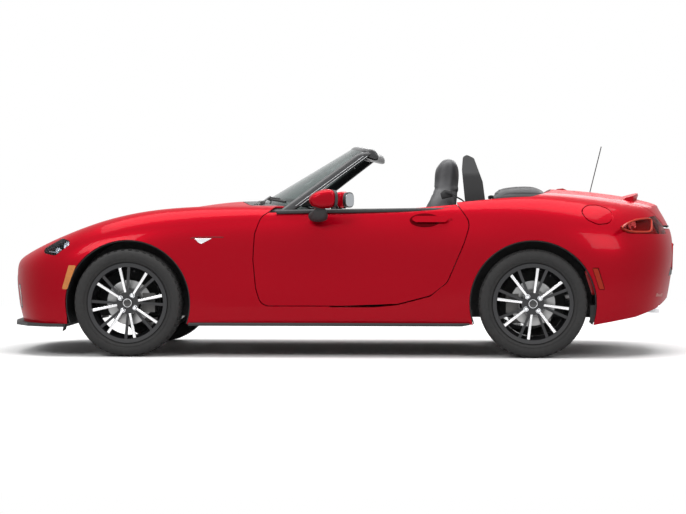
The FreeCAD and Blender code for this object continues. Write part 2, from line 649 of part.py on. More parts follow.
buried = .12
pillar_root = pillar_foot + (pillar_foot - pillar_head) * buried
glass_root = glass_foot + (glass_foot - glass_head) * buried
glass_face = Part.makeRuledSurface(across_arc(pillar_root, glass_root).toShape(),
                                   across_arc(pillar_head, glass_head).toShape())
keep("windscreen", only_solid(glass_face.extrude(Vector(glass_thickness, 0, 0)).cut(outside)))

# The frame runs behind the edge of the glass: up one pillar, over the top and down the other.
frame_depth = size("frame_depth")
frame_back = Vector(glass_thickness + seat_gap, 0, 0)


def frame_section(place, aim, wide, deep):
    """A four-cornered section standing across the aim, its front face on the glass."""
    side = aim.cross(Vector(1, 0, 0))
    side.normalize()
    rear = Vector(deep, 0, 0)
    corners = [place - side * wide / 2, place + side * wide / 2,
               place + side * wide / 2 + rear, place - side * wide / 2 + rear]
    return Part.makePolygon(corners + corners[:1])


pillar_aim = pillar_head - pillar_foot
pillar = Part.makeLoft([frame_section(pillar_root + frame_back, pillar_aim, frame_depth, frame_depth),
                        frame_section(pillar_head + frame_back, pillar_aim, frame_depth, frame_depth)], True, True)
header_path = Part.Wire([across_arc(pillar_head + frame_back, glass_head + frame_back).toShape()])
header_start = frame_section(pillar_head + frame_back, Vector(0, 1, 0), frame_depth * 1.1, frame_depth * 1.5)
header = header_path.makePipeShell([header_start], True, True)
windscreen_frame = fused([both(pillar).Solids[0], both(pillar).Solids[1], header])
keep("windscreen_frame", only_solid(windscreen_frame.cut(outside)))

# Cabin fittings
seat_offset = size("seat_offset")
trim_half = cabin - tub_wall - seat_gap


def side_shape(shares, radius, near, far_side):
    return side_prism(side_points(shares), radius, near, far_side)


dash_shares = [(.328, .74), (.330, .94), (.352, .99), (.43, .985), (.455, .955), (.452, .85), (.43, .72),
               (.40, .66), (.345, .66)]
dashboard = side_shape(dash_shares, high(.03), -trim_half, trim_half)
console_shares = [(.40, .42), (.40, .66), (.425, .66), (.47, .60), (.56, .555), (.80, .55), (.825, .62),
                  (.825, .42)]
console = side_shape(console_shares, high(.02), -aside(.12), aside(.12))
lever = rod(Vector(along(.565), 0, high(.52)), Vector(along(.555), 0, high(.68)), size("lever_radius"))
knob = Part.makeSphere(size("lever_radius") * 2.6, Vector(along(.554), 0, high(.69)))
brake_lever = rod(Vector(along(.70), -aside(.06), high(.54)), Vector(along(.62), -aside(.06), high(.62)),
                  size("lever_radius") * 1.5)
console = fused([console, lever, knob, brake_lever])
console.translate(Vector(0, 0, seat_gap))
keep("console", console)

seat_shares = [(.532, .242), (.522, .44), (.535, .48), (.575, .485), (.66, .425), (.705, .47), (.728, .70),
               (.752, 1.02), (.766, 1.09), (.80, 1.09), (.815, 1.0), (.80, .70), (.785, .35), (.775, .242)]
rest_shares = [(.757, 1.06), (.762, 1.30), (.778, 1.345), (.806, 1.34), (.822, 1.26), (.82, 1.12), (.81, 1.06)]
bolster_shares = [(.54, .30), (.53, .47), (.56, .54), (.62, .53), (.675, .49), (.70, .56), (.715, .78),
                  (.735, 1.0), (.775, 1.03), (.79, .8), (.76, .35)]


def seat(side):
    middle_place = Vector(0, side * seat_offset, 0)
    seat_half = size("seat_width") / 2
    bolster = seat_half * .28
    body = side_shape(seat_shares, high(.04), -seat_half + bolster / 2, seat_half - bolster / 2)
    rest = side_shape(rest_shares, high(.04), -seat_half * .5, seat_half * .5)
    wing = side_shape(bolster_shares, high(.05), seat_half - bolster, seat_half)
    shape = fused([body, rest, wing, mirrored(wing)])
    floor_top = floor_height + tub_wall + seat_gap
    shape.translate(middle_place + Vector(0, 0, floor_top - shape.BoundBox.ZMin))
    return shape


keep("seat_left", seat(-1))
keep("seat_right", seat(1))

hoop_radius = size("hoop_radius")
hoop_shares = [(.838, .93), (.826, 1.25), (.828, 1.318), (.838, 1.333), (.856, 1.31), (.878, 1.15), (.889, .93)]


def hoop(side):
    """A padded arch behind a seat: its side view carried across, with the opening cut through it."""
    half = aside(.20)
    foot = high(.93) + seat_gap
    arch = side_prism([(a, max(b, foot)) for a, b in side_points(hoop_shares)], high(.02), -half, half)
    window = [(-half + hoop_radius * 2, foot - overrun), (-half + hoop_radius * 2, high(1.16)),
              (-half * .35, high(1.33) - hoop_radius * 2), (half * .35, high(1.33) - hoop_radius * 2),
              (half - hoop_radius * 2, high(1.16)), (half - hoop_radius * 2, foot - overrun)]
    window_wire = outline([Vector(along(.8), a, b) for a, b in window], hoop_radius)
    front_view = [(-half, foot - overrun), (-half, high(1.20)), (-half * .5, high(1.4)), (half * .5, high(1.4)),
                  (half, high(1.20)), (half, foot - overrun)]
    view_wire = outline([Vector(along(.8), a, b) for a, b in front_view], hoop_radius * 2)
    through = Vector(along(.95) - along(.8), 0, 0)
    shape = arch.common(Part.Face(view_wire).extrude(through)).cut(Part.Face(window_wire).extrude(through))
    shape.translate(Vector(0, side * seat_offset, 0))
    return shape


keep("roll_hoops", Part.makeCompound([hoop(-1), hoop(1)]))

stack_flat = plan_points([(.895, .70), (1.0, .72), (1.06, .64), (1.11, .46), (1.128, .20)])
stack_base = outline([Vector(a, b, high(.93) + seat_gap) for a, b in stack_flat], high(.06))
stack_crown = outline([Vector(a, b, high(1.10)) for a, b in grown(stack_flat, -aside(.02))], high(.06))
stack_top = outline([Vector(a, b, high(1.137)) for a, b in grown(stack_flat, -aside(.09))], high(.05))
soft_top = Part.makeLoft([stack_base, stack_crown, stack_top], True, True)
keep("soft_top", soft_top)

# Steering wheel, its column fixed to the dashboard
wheel_tilt = math.radians(size("steering_tilt"))
column_aim = Vector(math.cos(wheel_tilt), 0, math.sin(wheel_tilt))
hub_place = Vector(along(.515), -seat_offset, high(.90))
rim_circle = size("steering_radius")
rim_tube = size("steering_rim") / 2
rim_section = []
for step in range(8):
    angle = math.radians(22.5 + step * 45)
    rim_section.append(Vector(math.sin(angle) * rim_tube, 0, rim_circle + math.cos(angle) * rim_tube))
steering_rim = Part.Face(Part.makePolygon(rim_section + rim_section[:1]))
steering_rim = steering_rim.revolve(Vector(0, 0, 0), Vector(1, 0, 0), 360)
steering_rim.rotate(Vector(0, 0, 0), Vector(0, 1, 0), -size("steering_tilt"))
steering_rim.translate(hub_place)
steering_hub = rod(hub_place - column_aim * rim_tube * 2, hub_place + column_aim * rim_tube, rim_circle * .33)
spokes = []
for spoke_angle in (180, 270, 0):
    spoke_aim = FreeCAD.Rotation(column_aim, spoke_angle).multVec(Vector(0, 1, 0))
    spokes.append(rod(hub_place, hub_place + spoke_aim * rim_circle, rim_tube * .7))
steering_wheel = fused([steering_rim, steering_hub] + spokes)
keep("steering_wheel", steering_wheel)
column_end = hub_place - column_aim * (rim_tube * 2 + seat_gap)
column = rod(column_end - column_aim * (along(.515) - along(.45)), column_end, rim_tube * 2.5)
keep("dashboard", fused([dashboard.common(body_space(panel * 1.5)), column]))

# Antenna on the right rear fender
antenna_foot = Vector(along(1.455), aside(.69), height_under(outside, along(1.455), aside(.69)))
antenna_tip = Vector(along(1.552), aside(.69), high(1.42))
mast = rod(antenna_foot, antenna_tip, size("mast_radius"))
keep("antenna", mast)

# Mirrors
mirror_place = Vector(along(.484), -aside(.985), high(1.028))
mirror_rows = ((-.098, .030, .035), (-.085, .078, .052), (-.040, .118, .070), (.020, .126, .076), (.062, .122, .073))
mirror_rings = []
for back, wide, tall in mirror_rows:
    ring = [Vector(aside(back), aside(wide) * a, aside(tall) * b)
            for a, b in ((-1, -.45), (-.62, -1), (.62, -1), (1, -.45), (1, .45), (.62, 1), (-.62, 1), (-1, .45))]
    mirror_rings.append(Part.makePolygon(ring + ring[:1]))
housing = Part.makeLoft(mirror_rings, True, True)
housing.translate(mirror_place)
foot_start = Vector(along(.475), -aside(.80), high(.93))
foot = rod(foot_start, mirror_place, aside(.035))
mirror_left = only_solid(fused([housing, foot]).cut(outside))
keep("mirror_left", mirror_left)
keep("mirror_right", mirrored(mirror_left))

# Wheels
rim_radius = size("rim_radius")
rim_half = size("rim_width") / 2
spindle = size("spindle_radius")
disc_radius = size("disc_radius")


def turned(profile):
    """A profile of (along the axle, from the axle) pairs, turned about the axle."""
    points = [Vector(0, a, b) for a, b in profile]
    face = Part.Face(Part.makePolygon(points + points[:1]))
    return face.revolve(Vector(0, 0, 0), Vector(0, 1, 0), 360)


flange = rim_radius * 1.055
bead_place = rim_half * .87
rim_profile = [(-rim_half, flange), (-bead_place, flange), (-bead_place, rim_radius),
               (-rim_half * .30, rim_radius * .91), (rim_half * .40, rim_radius * .91),
               (bead_place, rim_radius), (bead_place, flange), (rim_half, flange),
               (rim_half, rim_radius * .955), (rim_half * .40, rim_radius * .87),
               (-rim_half * .30, rim_radius * .87), (-rim_half, rim_radius * .955)]
tyre_half = size("tyre_width") / 2
bead = rim_radius + seat_gap
bead_edge = bead_place - seat_gap
tyre_side = [(bead_edge, bead), (bead_edge, flange + seat_gap), (tyre_half, rim_radius * 1.19),
             (tyre_half * .93, tyre_radius * .965), (tyre_half * .68, tyre_radius)]
tyre_profile = [(-a, b) for a, b in tyre_side] + tyre_side[::-1]
tyre_profile += [(bead_edge * .80, bead), (tyre_half * .80, tyre_radius * .93),
                 (-tyre_half * .80, tyre_radius * .93), (-bead_edge * .80, bead)]
tyre = turned(tyre_profile)
hub_face = -rim_half * .80
hub_back = -rim_half * .42
hub_profile = [(hub_face, spindle * .6), (hub_face, rim_radius * .30), (hub_back, rim_radius * .34),
               (-rim_half * .10, rim_radius * .34), (-rim_half * .10, disc_radius),
               (-rim_half * .10 + size("disc_thickness"), disc_radius),
               (-rim_half * .10 + size("disc_thickness"), spindle), (hub_back, spindle),
               (hub_back, spindle * .6)]


hub = turned(hub_profile)
cap = rod(Vector(0, hub_face - panel, 0), Vector(0, hub_back, 0), rim_radius * .13)
spoke_width = size("spoke_width")


def spoke(angle, start_angle):
    """One spoke from the hub to the rim, as seen from outside, clockwise from the top."""
    inner_r = rim_radius * .26
    outer_r = rim_radius * .95
    rows = []
    for radius, turn, wide, face, back in ((inner_r, start_angle, .9, hub_face * 1.02, hub_back),
                                           (outer_r, angle, 1.15, -rim_half * .94, -rim_half * .62)):
        a = math.radians(turn)
        centre = Vector(-math.sin(a) * radius, 0, math.cos(a) * radius)
        side = Vector(math.cos(a), 0, math.sin(a)) * (spoke_width * wide / 2)
        corners = [centre - side + Vector(0, face, 0), centre + side + Vector(0, face, 0),
                   centre + side * .7 + Vector(0, back, 0), centre - side * .7 + Vector(0, back, 0)]
        rows.append(Part.makePolygon(corners + corners[:1]))
    return Part.makeLoft(rows, True, True)


def wheel(first_angle):
    barrel = turned(rim_profile)
    pieces = [barrel, hub, cap]
    for step in range(8):
        bright = first_angle + step * 45
        pieces.append(spoke(-bright, -bright - 4))
        pieces.append(spoke(-bright - 14.5, -bright - 10.5))
    return barrel.multiFuse(pieces[1:])


wheel_front = wheel(-12)
wheel_rear = wheel(7.5)


def placed(shape, x, y):
    moved = shape.copy()
    moved.translate(Vector(x, y, axle_height))
    return moved


front_side = size("front_track") / 2
rear_side = size("rear_track") / 2
for place, x, y, turned_wheel in (("front", 0, front_side, wheel_front), ("rear", wheelbase, rear_side, wheel_rear)):
    on_left = placed(turned_wheel, x, -y)
    keep("wheel_%s_left" % place, on_left)
    keep("wheel_%s_right" % place, mirrored(on_left))
    rubber = placed(tyre, x, -y)
    keep("tyre_%s_left" % place, rubber)
    keep("tyre_%s_right" % place, mirrored(rubber))

# Knuckles carry the wheels, with a brake caliper each
spindle_fit = spindle - seat_gap
upright_face = size("kingpin_offset") - panel * 2
arm_thickness = panel * 2
front_low = high(.215)
upright_foot = front_low + arm_thickness + seat_gap - axle_height


def knuckle(caliper_side):
    """Spindle, upright and caliper about a wheel centre at the origin, outside at -Y."""
    stub = rod(Vector(0, hub_back + seat_gap, 0), Vector(0, upright_face, 0), spindle_fit)
    upright = block((-spindle * 1.1, spindle * 1.1), (upright_face - panel, upright_face + panel * 2),
                    (upright_foot, spindle * 4))
    disc_middle = -rim_half * .10 + size("disc_thickness") / 2
    caliper_half = size("disc_thickness") * 1.9
    body = block((disc_radius * .62, disc_radius * 1.18), (disc_middle - caliper_half, upright_face + panel),
                 (-disc_radius * .42, disc_radius * .42))
    slot = rod(Vector(0, disc_middle - size("disc_thickness") / 2 - shut_gap, 0),
               Vector(0, disc_middle + size("disc_thickness") / 2 + shut_gap, 0), disc_radius + shut_gap)
    body = body.cut(slot)
    if caliper_side < 0:
        body = body.mirror(Vector(0, 0, 0), Vector(1, 0, 0))
    web = block((0, caliper_side * disc_radius * .8) if caliper_side > 0 else (caliper_side * disc_radius * .8, 0),
                (upright_face - panel, upright_face + panel), (-spindle, spindle))
    return fused([stub, upright, body, web])


kingpin_side = size("kingpin_offset")
kingpin = rod(Vector(0, kingpin_side, upright_foot), Vector(0, kingpin_side, spindle * 4), spindle * .5)
front_knuckle = placed(only_solid(knuckle(1).fuse(kingpin)), 0, -front_side)
rear_knuckle = placed(knuckle(-1), wheelbase, -rear_side)
keep("knuckle_left", front_knuckle)
keep("knuckle_right", mirrored(front_knuckle))


def arm(axle, side, low, reach):
    """A wishbone plate, wide at the frame and narrow at the knuckle."""
    wide = size("arm_spread")
    inner_y = -aside(.38)
    outer_y = -(side - size("kingpin_offset"))
    tip = spindle * .75
    points = [Vector(axle - wide, inner_y, low), Vector(axle + wide, inner_y, low), Vector(axle + tip, outer_y + tip, low),
              Vector(axle + tip, outer_y - tip, low), Vector(axle - tip, outer_y - tip, low),
              Vector(axle - tip, outer_y + tip, low)]
    plate = Part.Face(Part.makePolygon(points + points[:1])).extrude(Vector(0, 0, reach))
    return plate


lower_arm = arm(0, front_side, front_low, arm_thickness)
member_top = high(.28)


def cross_member(axle):
    """The beam between the arms, with a bush on top of each end that meets the rail above."""
    spread = size("arm_spread")
    beam = block((axle - spread, axle + spread), (-aside(.38), aside(.38)), (high(.20), member_top))
    bush = rod(Vector(axle, -aside(.375), member_top), Vector(axle, -aside(.375), rail_low - seat_gap), spindle)
    return fused([beam, bush, mirrored(bush)])


front_suspension = fused([cross_member(0), lower_arm, mirrored(lower_arm)])
keep("front_suspension", front_suspension)
rear_arm = arm(wheelbase, rear_side, front_low, arm_thickness)
rear_member = cross_member(wheelbase)
drive_shaft = rod(Vector(wheelbase, -rear_side + upright_face + panel * 3, axle_height),
                  Vector(wheelbase, rear_side - upright_face - panel * 3, axle_height), spindle * .5)
final_drive = block((wheelbase - aside(.15), wheelbase + aside(.15)), (-aside(.13), aside(.13)),
                    (high(.27), high(.42)))
keep("rear_suspension", fused([rear_member, rear_arm, mirrored(rear_arm), drive_shaft, final_drive,
                               rear_knuckle, mirrored(rear_knuckle)]))

# Exhaust, undertray, grille
muffler_radius = high(.08)
muffler_height = high(.44) - muffler_radius - seat_gap
muffler = rod(Vector(along(1.62), -aside(.30), muffler_height), Vector(along(1.62), aside(.48), muffler_height),
              muffler_radius)
tail_pipe = rod(Vector(along(1.62), aside(.40), high(.29)), Vector(along(1.95), aside(.40), high(.27)), panel * 3.4)
keep("exhaust", fused([muffler, tail_pipe]))
undertray_flat = plan_points([(-1.0, .10), (-.985, .36), (-.93, .62), (-.80, .82), (-.62, .93), (-.48, .95)])
tray_top = high(.215) - seat_gap
undertray = plan_prism(undertray_flat, corner_radius, tray_top - panel * 2, tray_top)
keep("undertray", undertray)
slats = []
slat_count = 5
for step in range(slat_count):
    low = high(.31 + step * .045)
    slats.append(block((along(-1.1), along(-.5)), (-far, far), (low, low + panel)))
mouth_ring = mouth_space.cut(Part.Face(outline([Vector(along(-1.2), a, b) for a, b in grown(mouth_flat, -panel)],
                                               high(.05))).extrude(Vector(along(.1) - along(-1.2), 0, 0)))
nose_zone = block((along(-1.2), along(-.5)), (-far, far), (0, roof_height))
grille_core = inside.common(mouth_space).common(nose_zone).cut(body_space(panel * 4))
grille = fused([grille_core.common(mouth_ring)] + [grille_core.common(slat) for slat in slats])
keep("grille", grille)

doc.recompute()
os.makedirs("parts", exist_ok=True)
for piece in finished:
    faulty = {"Invalid", "Error"} & set(piece.State)
    if faulty or piece.Shape.isNull() or not piece.Shape.isValid():
        raise RuntimeError("%s is not sound" % piece.Label)
for piece in finished:
    piece.Shape.exportStep("parts/%s.step" % piece.Label)
print(len(finished), "sub-parts")
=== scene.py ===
import json
import math
import bpy
from mathutils import Matrix, Vector


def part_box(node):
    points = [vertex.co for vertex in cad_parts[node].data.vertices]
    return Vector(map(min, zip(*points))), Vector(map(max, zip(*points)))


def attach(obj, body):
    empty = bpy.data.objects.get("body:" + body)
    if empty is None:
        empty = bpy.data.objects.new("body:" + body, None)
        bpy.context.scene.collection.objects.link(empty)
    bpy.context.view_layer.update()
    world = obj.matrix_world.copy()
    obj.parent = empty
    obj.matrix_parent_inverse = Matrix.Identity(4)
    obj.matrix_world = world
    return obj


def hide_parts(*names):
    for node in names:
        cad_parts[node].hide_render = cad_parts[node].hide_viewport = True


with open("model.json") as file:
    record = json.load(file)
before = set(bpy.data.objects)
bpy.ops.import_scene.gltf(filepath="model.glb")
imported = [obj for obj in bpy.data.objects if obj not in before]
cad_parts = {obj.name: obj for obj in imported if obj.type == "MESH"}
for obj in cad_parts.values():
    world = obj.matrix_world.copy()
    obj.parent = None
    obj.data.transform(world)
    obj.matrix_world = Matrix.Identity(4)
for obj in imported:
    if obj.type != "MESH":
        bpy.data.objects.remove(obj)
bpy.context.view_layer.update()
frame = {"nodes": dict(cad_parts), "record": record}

# An open two-seater with its soft top folded, dressed over its CAD nodes. Metres, nose towards -X, left at -Y.
nodes = frame["nodes"]


def middleOf(node):
    low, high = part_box(node)
    return (Vector(low) + Vector(high)) / 2


frontWheel = middleOf("wheel_front_left")
rearWheel = middleOf("wheel_rear_left")
axleHeight = frontWheel.z
wheelBase = rearWheel.x - frontWheel.x
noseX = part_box("front_bumper")[0][0]
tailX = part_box("rear_bumper")[1][0]
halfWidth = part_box("rear_body")[1][1]
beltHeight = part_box("door_left")[1][2]


def alongBy(share):  # -1 nose, 0 front axle, 1 rear axle, 2 tail
    if share < 0:
        return frontWheel.x + share * (frontWheel.x - noseX)
    if share <= 1:
        return frontWheel.x + share * wheelBase
    return rearWheel.x + (share - 1) * (tailX - rearWheel.x)


# Shader helpers: a Value is a socket that arithmetic works on, a Finish is one material.
class Value:
    def __init__(self, finish, socket):
        self.finish = finish
        self.socket = socket

    def maths(self, operation, first, second):
        return self.finish.node("ShaderNodeMath", {"operation": operation}, {0: first, 1: second})

    def __add__(self, other):
        return self.maths("ADD", self, other)

    def __radd__(self, other):
        return self.maths("ADD", other, self)

    def __sub__(self, other):
        return self.maths("SUBTRACT", self, other)

    def __rsub__(self, other):
        return self.maths("SUBTRACT", other, self)

    def __mul__(self, other):
        return self.maths("MULTIPLY", self, other)

    def __rmul__(self, other):
        return self.maths("MULTIPLY", other, self)

    def __gt__(self, other):
        return self.maths("GREATER_THAN", self, other)


class Finish:
    def __init__(self, name, **constants):
        self.material = bpy.data.materials.new(name)
        self.material.use_nodes = True
        self.tree = self.material.node_tree
        self.shader = self.tree.nodes["Principled BSDF"]
        self.output = self.tree.nodes["Material Output"]
        for socket, value in constants.items():
            self.shader.inputs[socket.replace("_", " ")].default_value = value
        tint = self.shader.inputs["Base Color"].default_value
        self.material.diffuse_color = tint

    def node(self, kind, settings, sockets, output=0):
        made = self.tree.nodes.new(kind)
        for setting, value in settings.items():
            if setting == "stops":
                ramp = made.color_ramp
                for place, colour in value[2:]:
                    ramp.elements.new(place)
                for element, (place, colour) in zip(ramp.elements, sorted(value)):
                    element.position = place
                    element.color = colour
            else:
                setattr(made, setting, value)
        for socket, value in sockets.items():
            self.plug(made.inputs[socket], value)
        return Value(self, made.outputs[output])

    def plug(self, entry, value):
        if isinstance(value, Value):
            self.tree.links.new(value.socket, entry)
        else:
            entry.default_value = value

    def place(self):
        return self.node("ShaderNodeTexCoord", {}, {}, "Object")

    def noise(self, scale, detail=3.0, stretch=None):
        where = self.place()
        if stretch:
            where = self.node("ShaderNodeMapping", {}, {"Vector": where, "Scale": stretch})
        return self.node("ShaderNodeTexNoise", {}, {"Vector": where, "Scale": scale, "Detail": detail}, "Fac")

    def ranged(self, value, low, high):
        return self.node("ShaderNodeMapRange", {}, {"Value": value, "To Min": low, "To Max": high})

    def colours(self, factor, first, second):
        return self.node("ShaderNodeMix", {"data_type": "RGBA"}, {0: factor, 6: first, 7: second}, 2)

    def drive(self, **links):
        for socket, value in links.items():
            self.plug(self.shader.inputs[socket.replace("_", " ")], value)
        return self

    def bump(self, height, strength, distance):
        relief = self.node("ShaderNodeBump", {}, {"Strength": strength, "Distance": distance, "Height": height})
        self.plug(self.shader.inputs["Normal"], relief)
        return self


def rgb(red, green, blue):
    return (red, green, blue, 1.0)


print("finishes")
paint = Finish("redPaint", Base_Color=rgb(.42, .001, .012), Metallic=.30, Roughness=.34, Specular_IOR_Level=.0,
               Coat_Weight=.15, Coat_Roughness=.03)
flake = paint.noise(2600.0, 1.0)
paint.drive(Base_Color=paint.colours(paint.ranged(flake, 0.0, 1.0), rgb(.36, .0006, .009), rgb(.50, .002, .014)))
paint.bump(paint.noise(60.0, 2.0), .012, .0004)

blackPlastic = Finish("blackPlastic", Base_Color=rgb(.018, .018, .019), Roughness=.55)
blackPlastic.drive(Roughness=blackPlastic.ranged(blackPlastic.noise(120.0), .48, .66))
blackPlastic.bump(blackPlastic.noise(900.0, 2.0), .18, .0006)

blackPaint = Finish("blackPaint", Base_Color=rgb(.010, .010, .011), Roughness=.22, Coat_Weight=.7, Coat_Roughness=.05)
blackPaint.bump(blackPaint.noise(140.0, 2.0), .02, .0004)

rubber = Finish("tyreRubber", Base_Color=rgb(.016, .016, .017), Roughness=.78)
rubber.drive(Base_Color=rubber.colours(rubber.noise(9.0, 5.0), rgb(.012, .012, .013), rgb(.027, .026, .025)),
             Roughness=rubber.ranged(rubber.noise(60.0), .66, .88))
rubber.bump(rubber.noise(700.0, 2.0), .12, .0005)

darkAlloy = Finish("darkAlloy", Base_Color=rgb(.016, .016, .018), Metallic=.55, Roughness=.32, Coat_Weight=.6,
                   Coat_Roughness=.08)
darkAlloy.bump(darkAlloy.noise(300.0, 2.0), .03, .0004)
brightAlloy = Finish("brightAlloy", Base_Color=rgb(.80, .80, .81), Metallic=.92, Roughness=.26, Coat_Weight=.4,
                     Coat_Roughness=.1)
brightAlloy.drive(Roughness=brightAlloy.ranged(brightAlloy.noise(240.0, 2.0), .20, .34))
brightAlloy.bump(brightAlloy.noise(900.0, 1.0), .05, .0002)

chrome = Finish("chrome", Base_Color=rgb(.83, .84, .86), Metallic=1.0, Roughness=.07)
chrome.drive(Roughness=chrome.ranged(chrome.noise(30.0), .05, .10))
steel = Finish("exhaustSteel", Base_Color=rgb(.42, .40, .38), Metallic=1.0, Roughness=.3)
steel.drive(Base_Color=steel.colours(steel.noise(25.0), rgb(.30, .28, .26), rgb(.55, .53, .51)),
            Roughness=steel.ranged(steel.noise(80.0), .22, .42))
casting = Finish("castMetal", Base_Color=rgb(.10, .10, .10), Metallic=.7, Roughness=.55)
casting.drive(Base_Color=casting.colours(casting.noise(18.0, 5.0), rgb(.07, .07, .07), rgb(.17, .165, .16)))
casting.bump(casting.noise(420.0, 3.0), .25, .0008)
brakeMetal = Finish("brakeDisc", Base_Color=rgb(.36, .36, .36), Metallic=.9, Roughness=.3)
ringPlace = brakeMetal.node("ShaderNodeTexNoise", {}, {"Vector": brakeMetal.place(), "Scale": 220.0}, "Fac")
brakeMetal.drive(Roughness=brakeMetal.ranged(ringPlace, .24, .42))
aluminium = Finish("bareAluminium", Base_Color=rgb(.50, .51, .52), Metallic=.9, Roughness=.4)
aluminium.drive(Roughness=aluminium.ranged(aluminium.noise(90.0), .32, .5))

seatCloth = Finish("seatFabric", Base_Color=rgb(.030, .030, .033), Roughness=.9, Sheen_Weight=.35, Sheen_Roughness=.4)
weave = seatCloth.node("ShaderNodeTexVoronoi", {}, {"Vector": seatCloth.place(), "Scale": 620.0}, "Distance")
seatCloth.drive(Base_Color=seatCloth.colours(seatCloth.noise(35.0), rgb(.022, .022, .025), rgb(.045, .045, .049)))
seatCloth.bump(weave, .35, .0009)
canvas = Finish("roofCanvas", Base_Color=rgb(.024, .024, .027), Roughness=.93, Sheen_Weight=.25, Sheen_Roughness=.5)
thread = canvas.node("ShaderNodeTexVoronoi", {}, {"Vector": canvas.place(), "Scale": 820.0}, "Distance")
canvas.drive(Base_Color=canvas.colours(canvas.noise(22.0), rgb(.018, .018, .020), rgb(.036, .036, .040)))
canvas.bump(thread, .3, .0007)
vinyl = Finish("hoopVinyl", Base_Color=rgb(.016, .016, .017), Roughness=.5)
grain = vinyl.node("ShaderNodeTexVoronoi", {}, {"Vector": vinyl.place(), "Scale": 480.0}, "Distance")
vinyl.bump(grain, .22, .0006)
leather = Finish("wheelLeather", Base_Color=rgb(.014, .014, .015), Roughness=.42)
pores = leather.node("ShaderNodeTexVoronoi", {}, {"Vector": leather.place(), "Scale": 900.0}, "Distance")
leather.bump(pores, .2, .0004)
carpet = Finish("floorCarpet", Base_Color=rgb(.020, .020, .021), Roughness=1.0)
carpet.drive(Base_Color=carpet.colours(carpet.noise(300.0, 4.0), rgb(.012, .012, .013), rgb(.038, .038, .040)))
carpet.bump(carpet.noise(700.0, 4.0), .6, .0015)


def glassFinish(name, tint, through):
    finish = Finish(name, Base_Color=tint, Roughness=.02, Specular_IOR_Level=.5, Coat_Weight=.3, Coat_Roughness=.02)
    clear = finish.node("ShaderNodeBsdfTransparent", {}, {"Color": through})
    facing = finish.node("ShaderNodeLayerWeight", {}, {"Blend": .5}, "Facing")
    edge = facing * facing * facing * facing
    mixed = finish.node("ShaderNodeMixShader", {}, {0: edge * .75 + .05, 1: clear,
                                                   2: Value(finish, finish.shader.outputs[0])})
    finish.tree.links.new(mixed.socket, finish.output.inputs["Surface"])
    return finish


screenGlass = glassFinish("screenGlass", rgb(.10, .12, .12), rgb(.66, .71, .70))
lampGlass = glassFinish("lampGlass", rgb(.06, .07, .08), rgb(.84, .86, .88))
redLens = Finish("redLens", Base_Color=rgb(.42, .004, .006), Roughness=.08, Coat_Weight=.6, Coat_Roughness=.02)
redLens.drive(Base_Color=redLens.colours(redLens.noise(40.0), rgb(.34, .003, .004), rgb(.55, .010, .010)))
amberLens = Finish("amberLens", Base_Color=rgb(.80, .22, .01), Roughness=.1, Coat_Weight=.6, Coat_Roughness=.02)
amberLens.drive(Base_Color=amberLens.colours(amberLens.noise(60.0), rgb(.62, .15, .01), rgb(.95, .34, .03)))
mirrorGlass = Finish("mirrorGlass", Base_Color=rgb(.36, .38, .40), Metallic=1.0, Roughness=.02)
mirrorGlass.drive(Roughness=mirrorGlass.ranged(mirrorGlass.noise(12.0), .012, .03))

finishOfSlot = {
    "red_paint": paint, "black_plastic": blackPlastic, "black_paint": blackPaint, "steering_leather": leather,
    "clear_lens": lampGlass, "red_lens": redLens, "amber_lens": amberLens, "clear_glass": screenGlass,
    "seat_fabric": seatCloth, "roof_fabric": canvas, "hoop_vinyl": vinyl, "floor_carpet": carpet,
    "cast_metal": casting, "bare_aluminium": aluminium, "exhaust_steel": steel, "wheel_metal": darkAlloy,
    "tyre_rubber": rubber,
}
slotOfNode = {}
for entry in frame["record"]["subparts"]:
    slotOfNode[entry["node"]] = entry["material_slot"]
for name, node in nodes.items():
    node.data.materials.clear()
    node.data.materials.append(finishOfSlot[slotOfNode[name]].material)

print("camera, floor and light")
studio = {"cameraX": .6893, "cameraY": -13.44, "cameraHeight": .85, "focalPixels": 2223, "imageWidth": 686,
          "imageHeight": 514, "axisPixelX": 460, "axisPixelY": 208, "floorSize": 90, "floorColour": rgb(.95, .95, .95),
          "floorShade": rgb(.07, .07, .07), "skyStrength": .34, "backdropStrength": 1.0}
bpy.ops.object.camera_add(location=(studio["cameraX"], studio["cameraY"], studio["cameraHeight"]))
camera = bpy.context.object
camera.data.sensor_width = 36
camera.data.lens = studio["focalPixels"] / studio["imageWidth"] * camera.data.sensor_width
turn = math.atan((studio["axisPixelX"] - studio["imageWidth"] / 2) / studio["focalPixels"])
tilt = math.atan((studio["imageHeight"] / 2 - studio["axisPixelY"]) / studio["focalPixels"])
camera.rotation_euler = (math.pi / 2 - tilt, 0, turn)
camera.data.clip_end = 300
bpy.context.scene.camera = camera
bpy.context.scene.view_settings.view_transform = "Standard"

bpy.ops.mesh.primitive_plane_add(size=studio["floorSize"], location=(0, 0, 0))
floor = bpy.context.object
floor.name = "floor"
floorFinish = Finish("floorFinish", Base_Color=studio["floorColour"], Roughness=.85, Specular_IOR_Level=.2)
seenBy = [floorFinish.node("ShaderNodeLightPath", {}, {}, ray) for ray in
          ("Is Camera Ray", "Is Glossy Ray", "Is Transmission Ray")]
seen = seenBy[0] + seenBy[1] + seenBy[2]
floorFinish.drive(Base_Color=floorFinish.colours(seen, studio["floorShade"], studio["floorColour"]))
away = floorFinish.node("ShaderNodeVectorMath", {"operation": "LENGTH"}, {0: floorFinish.place()}, "Value")
far = floorFinish.node("ShaderNodeMapRange", {}, {"Value": away, "From Min": 2.6, "From Max": 7.0})
white = floorFinish.node("ShaderNodeEmission", {}, {"Color": rgb(1, 1, 1), "Strength": studio["backdropStrength"]})
spread = floorFinish.node("ShaderNodeMixShader", {}, {0: far * seen, 1: Value(floorFinish, floorFinish.shader.outputs[0]),
                                                     2: white})
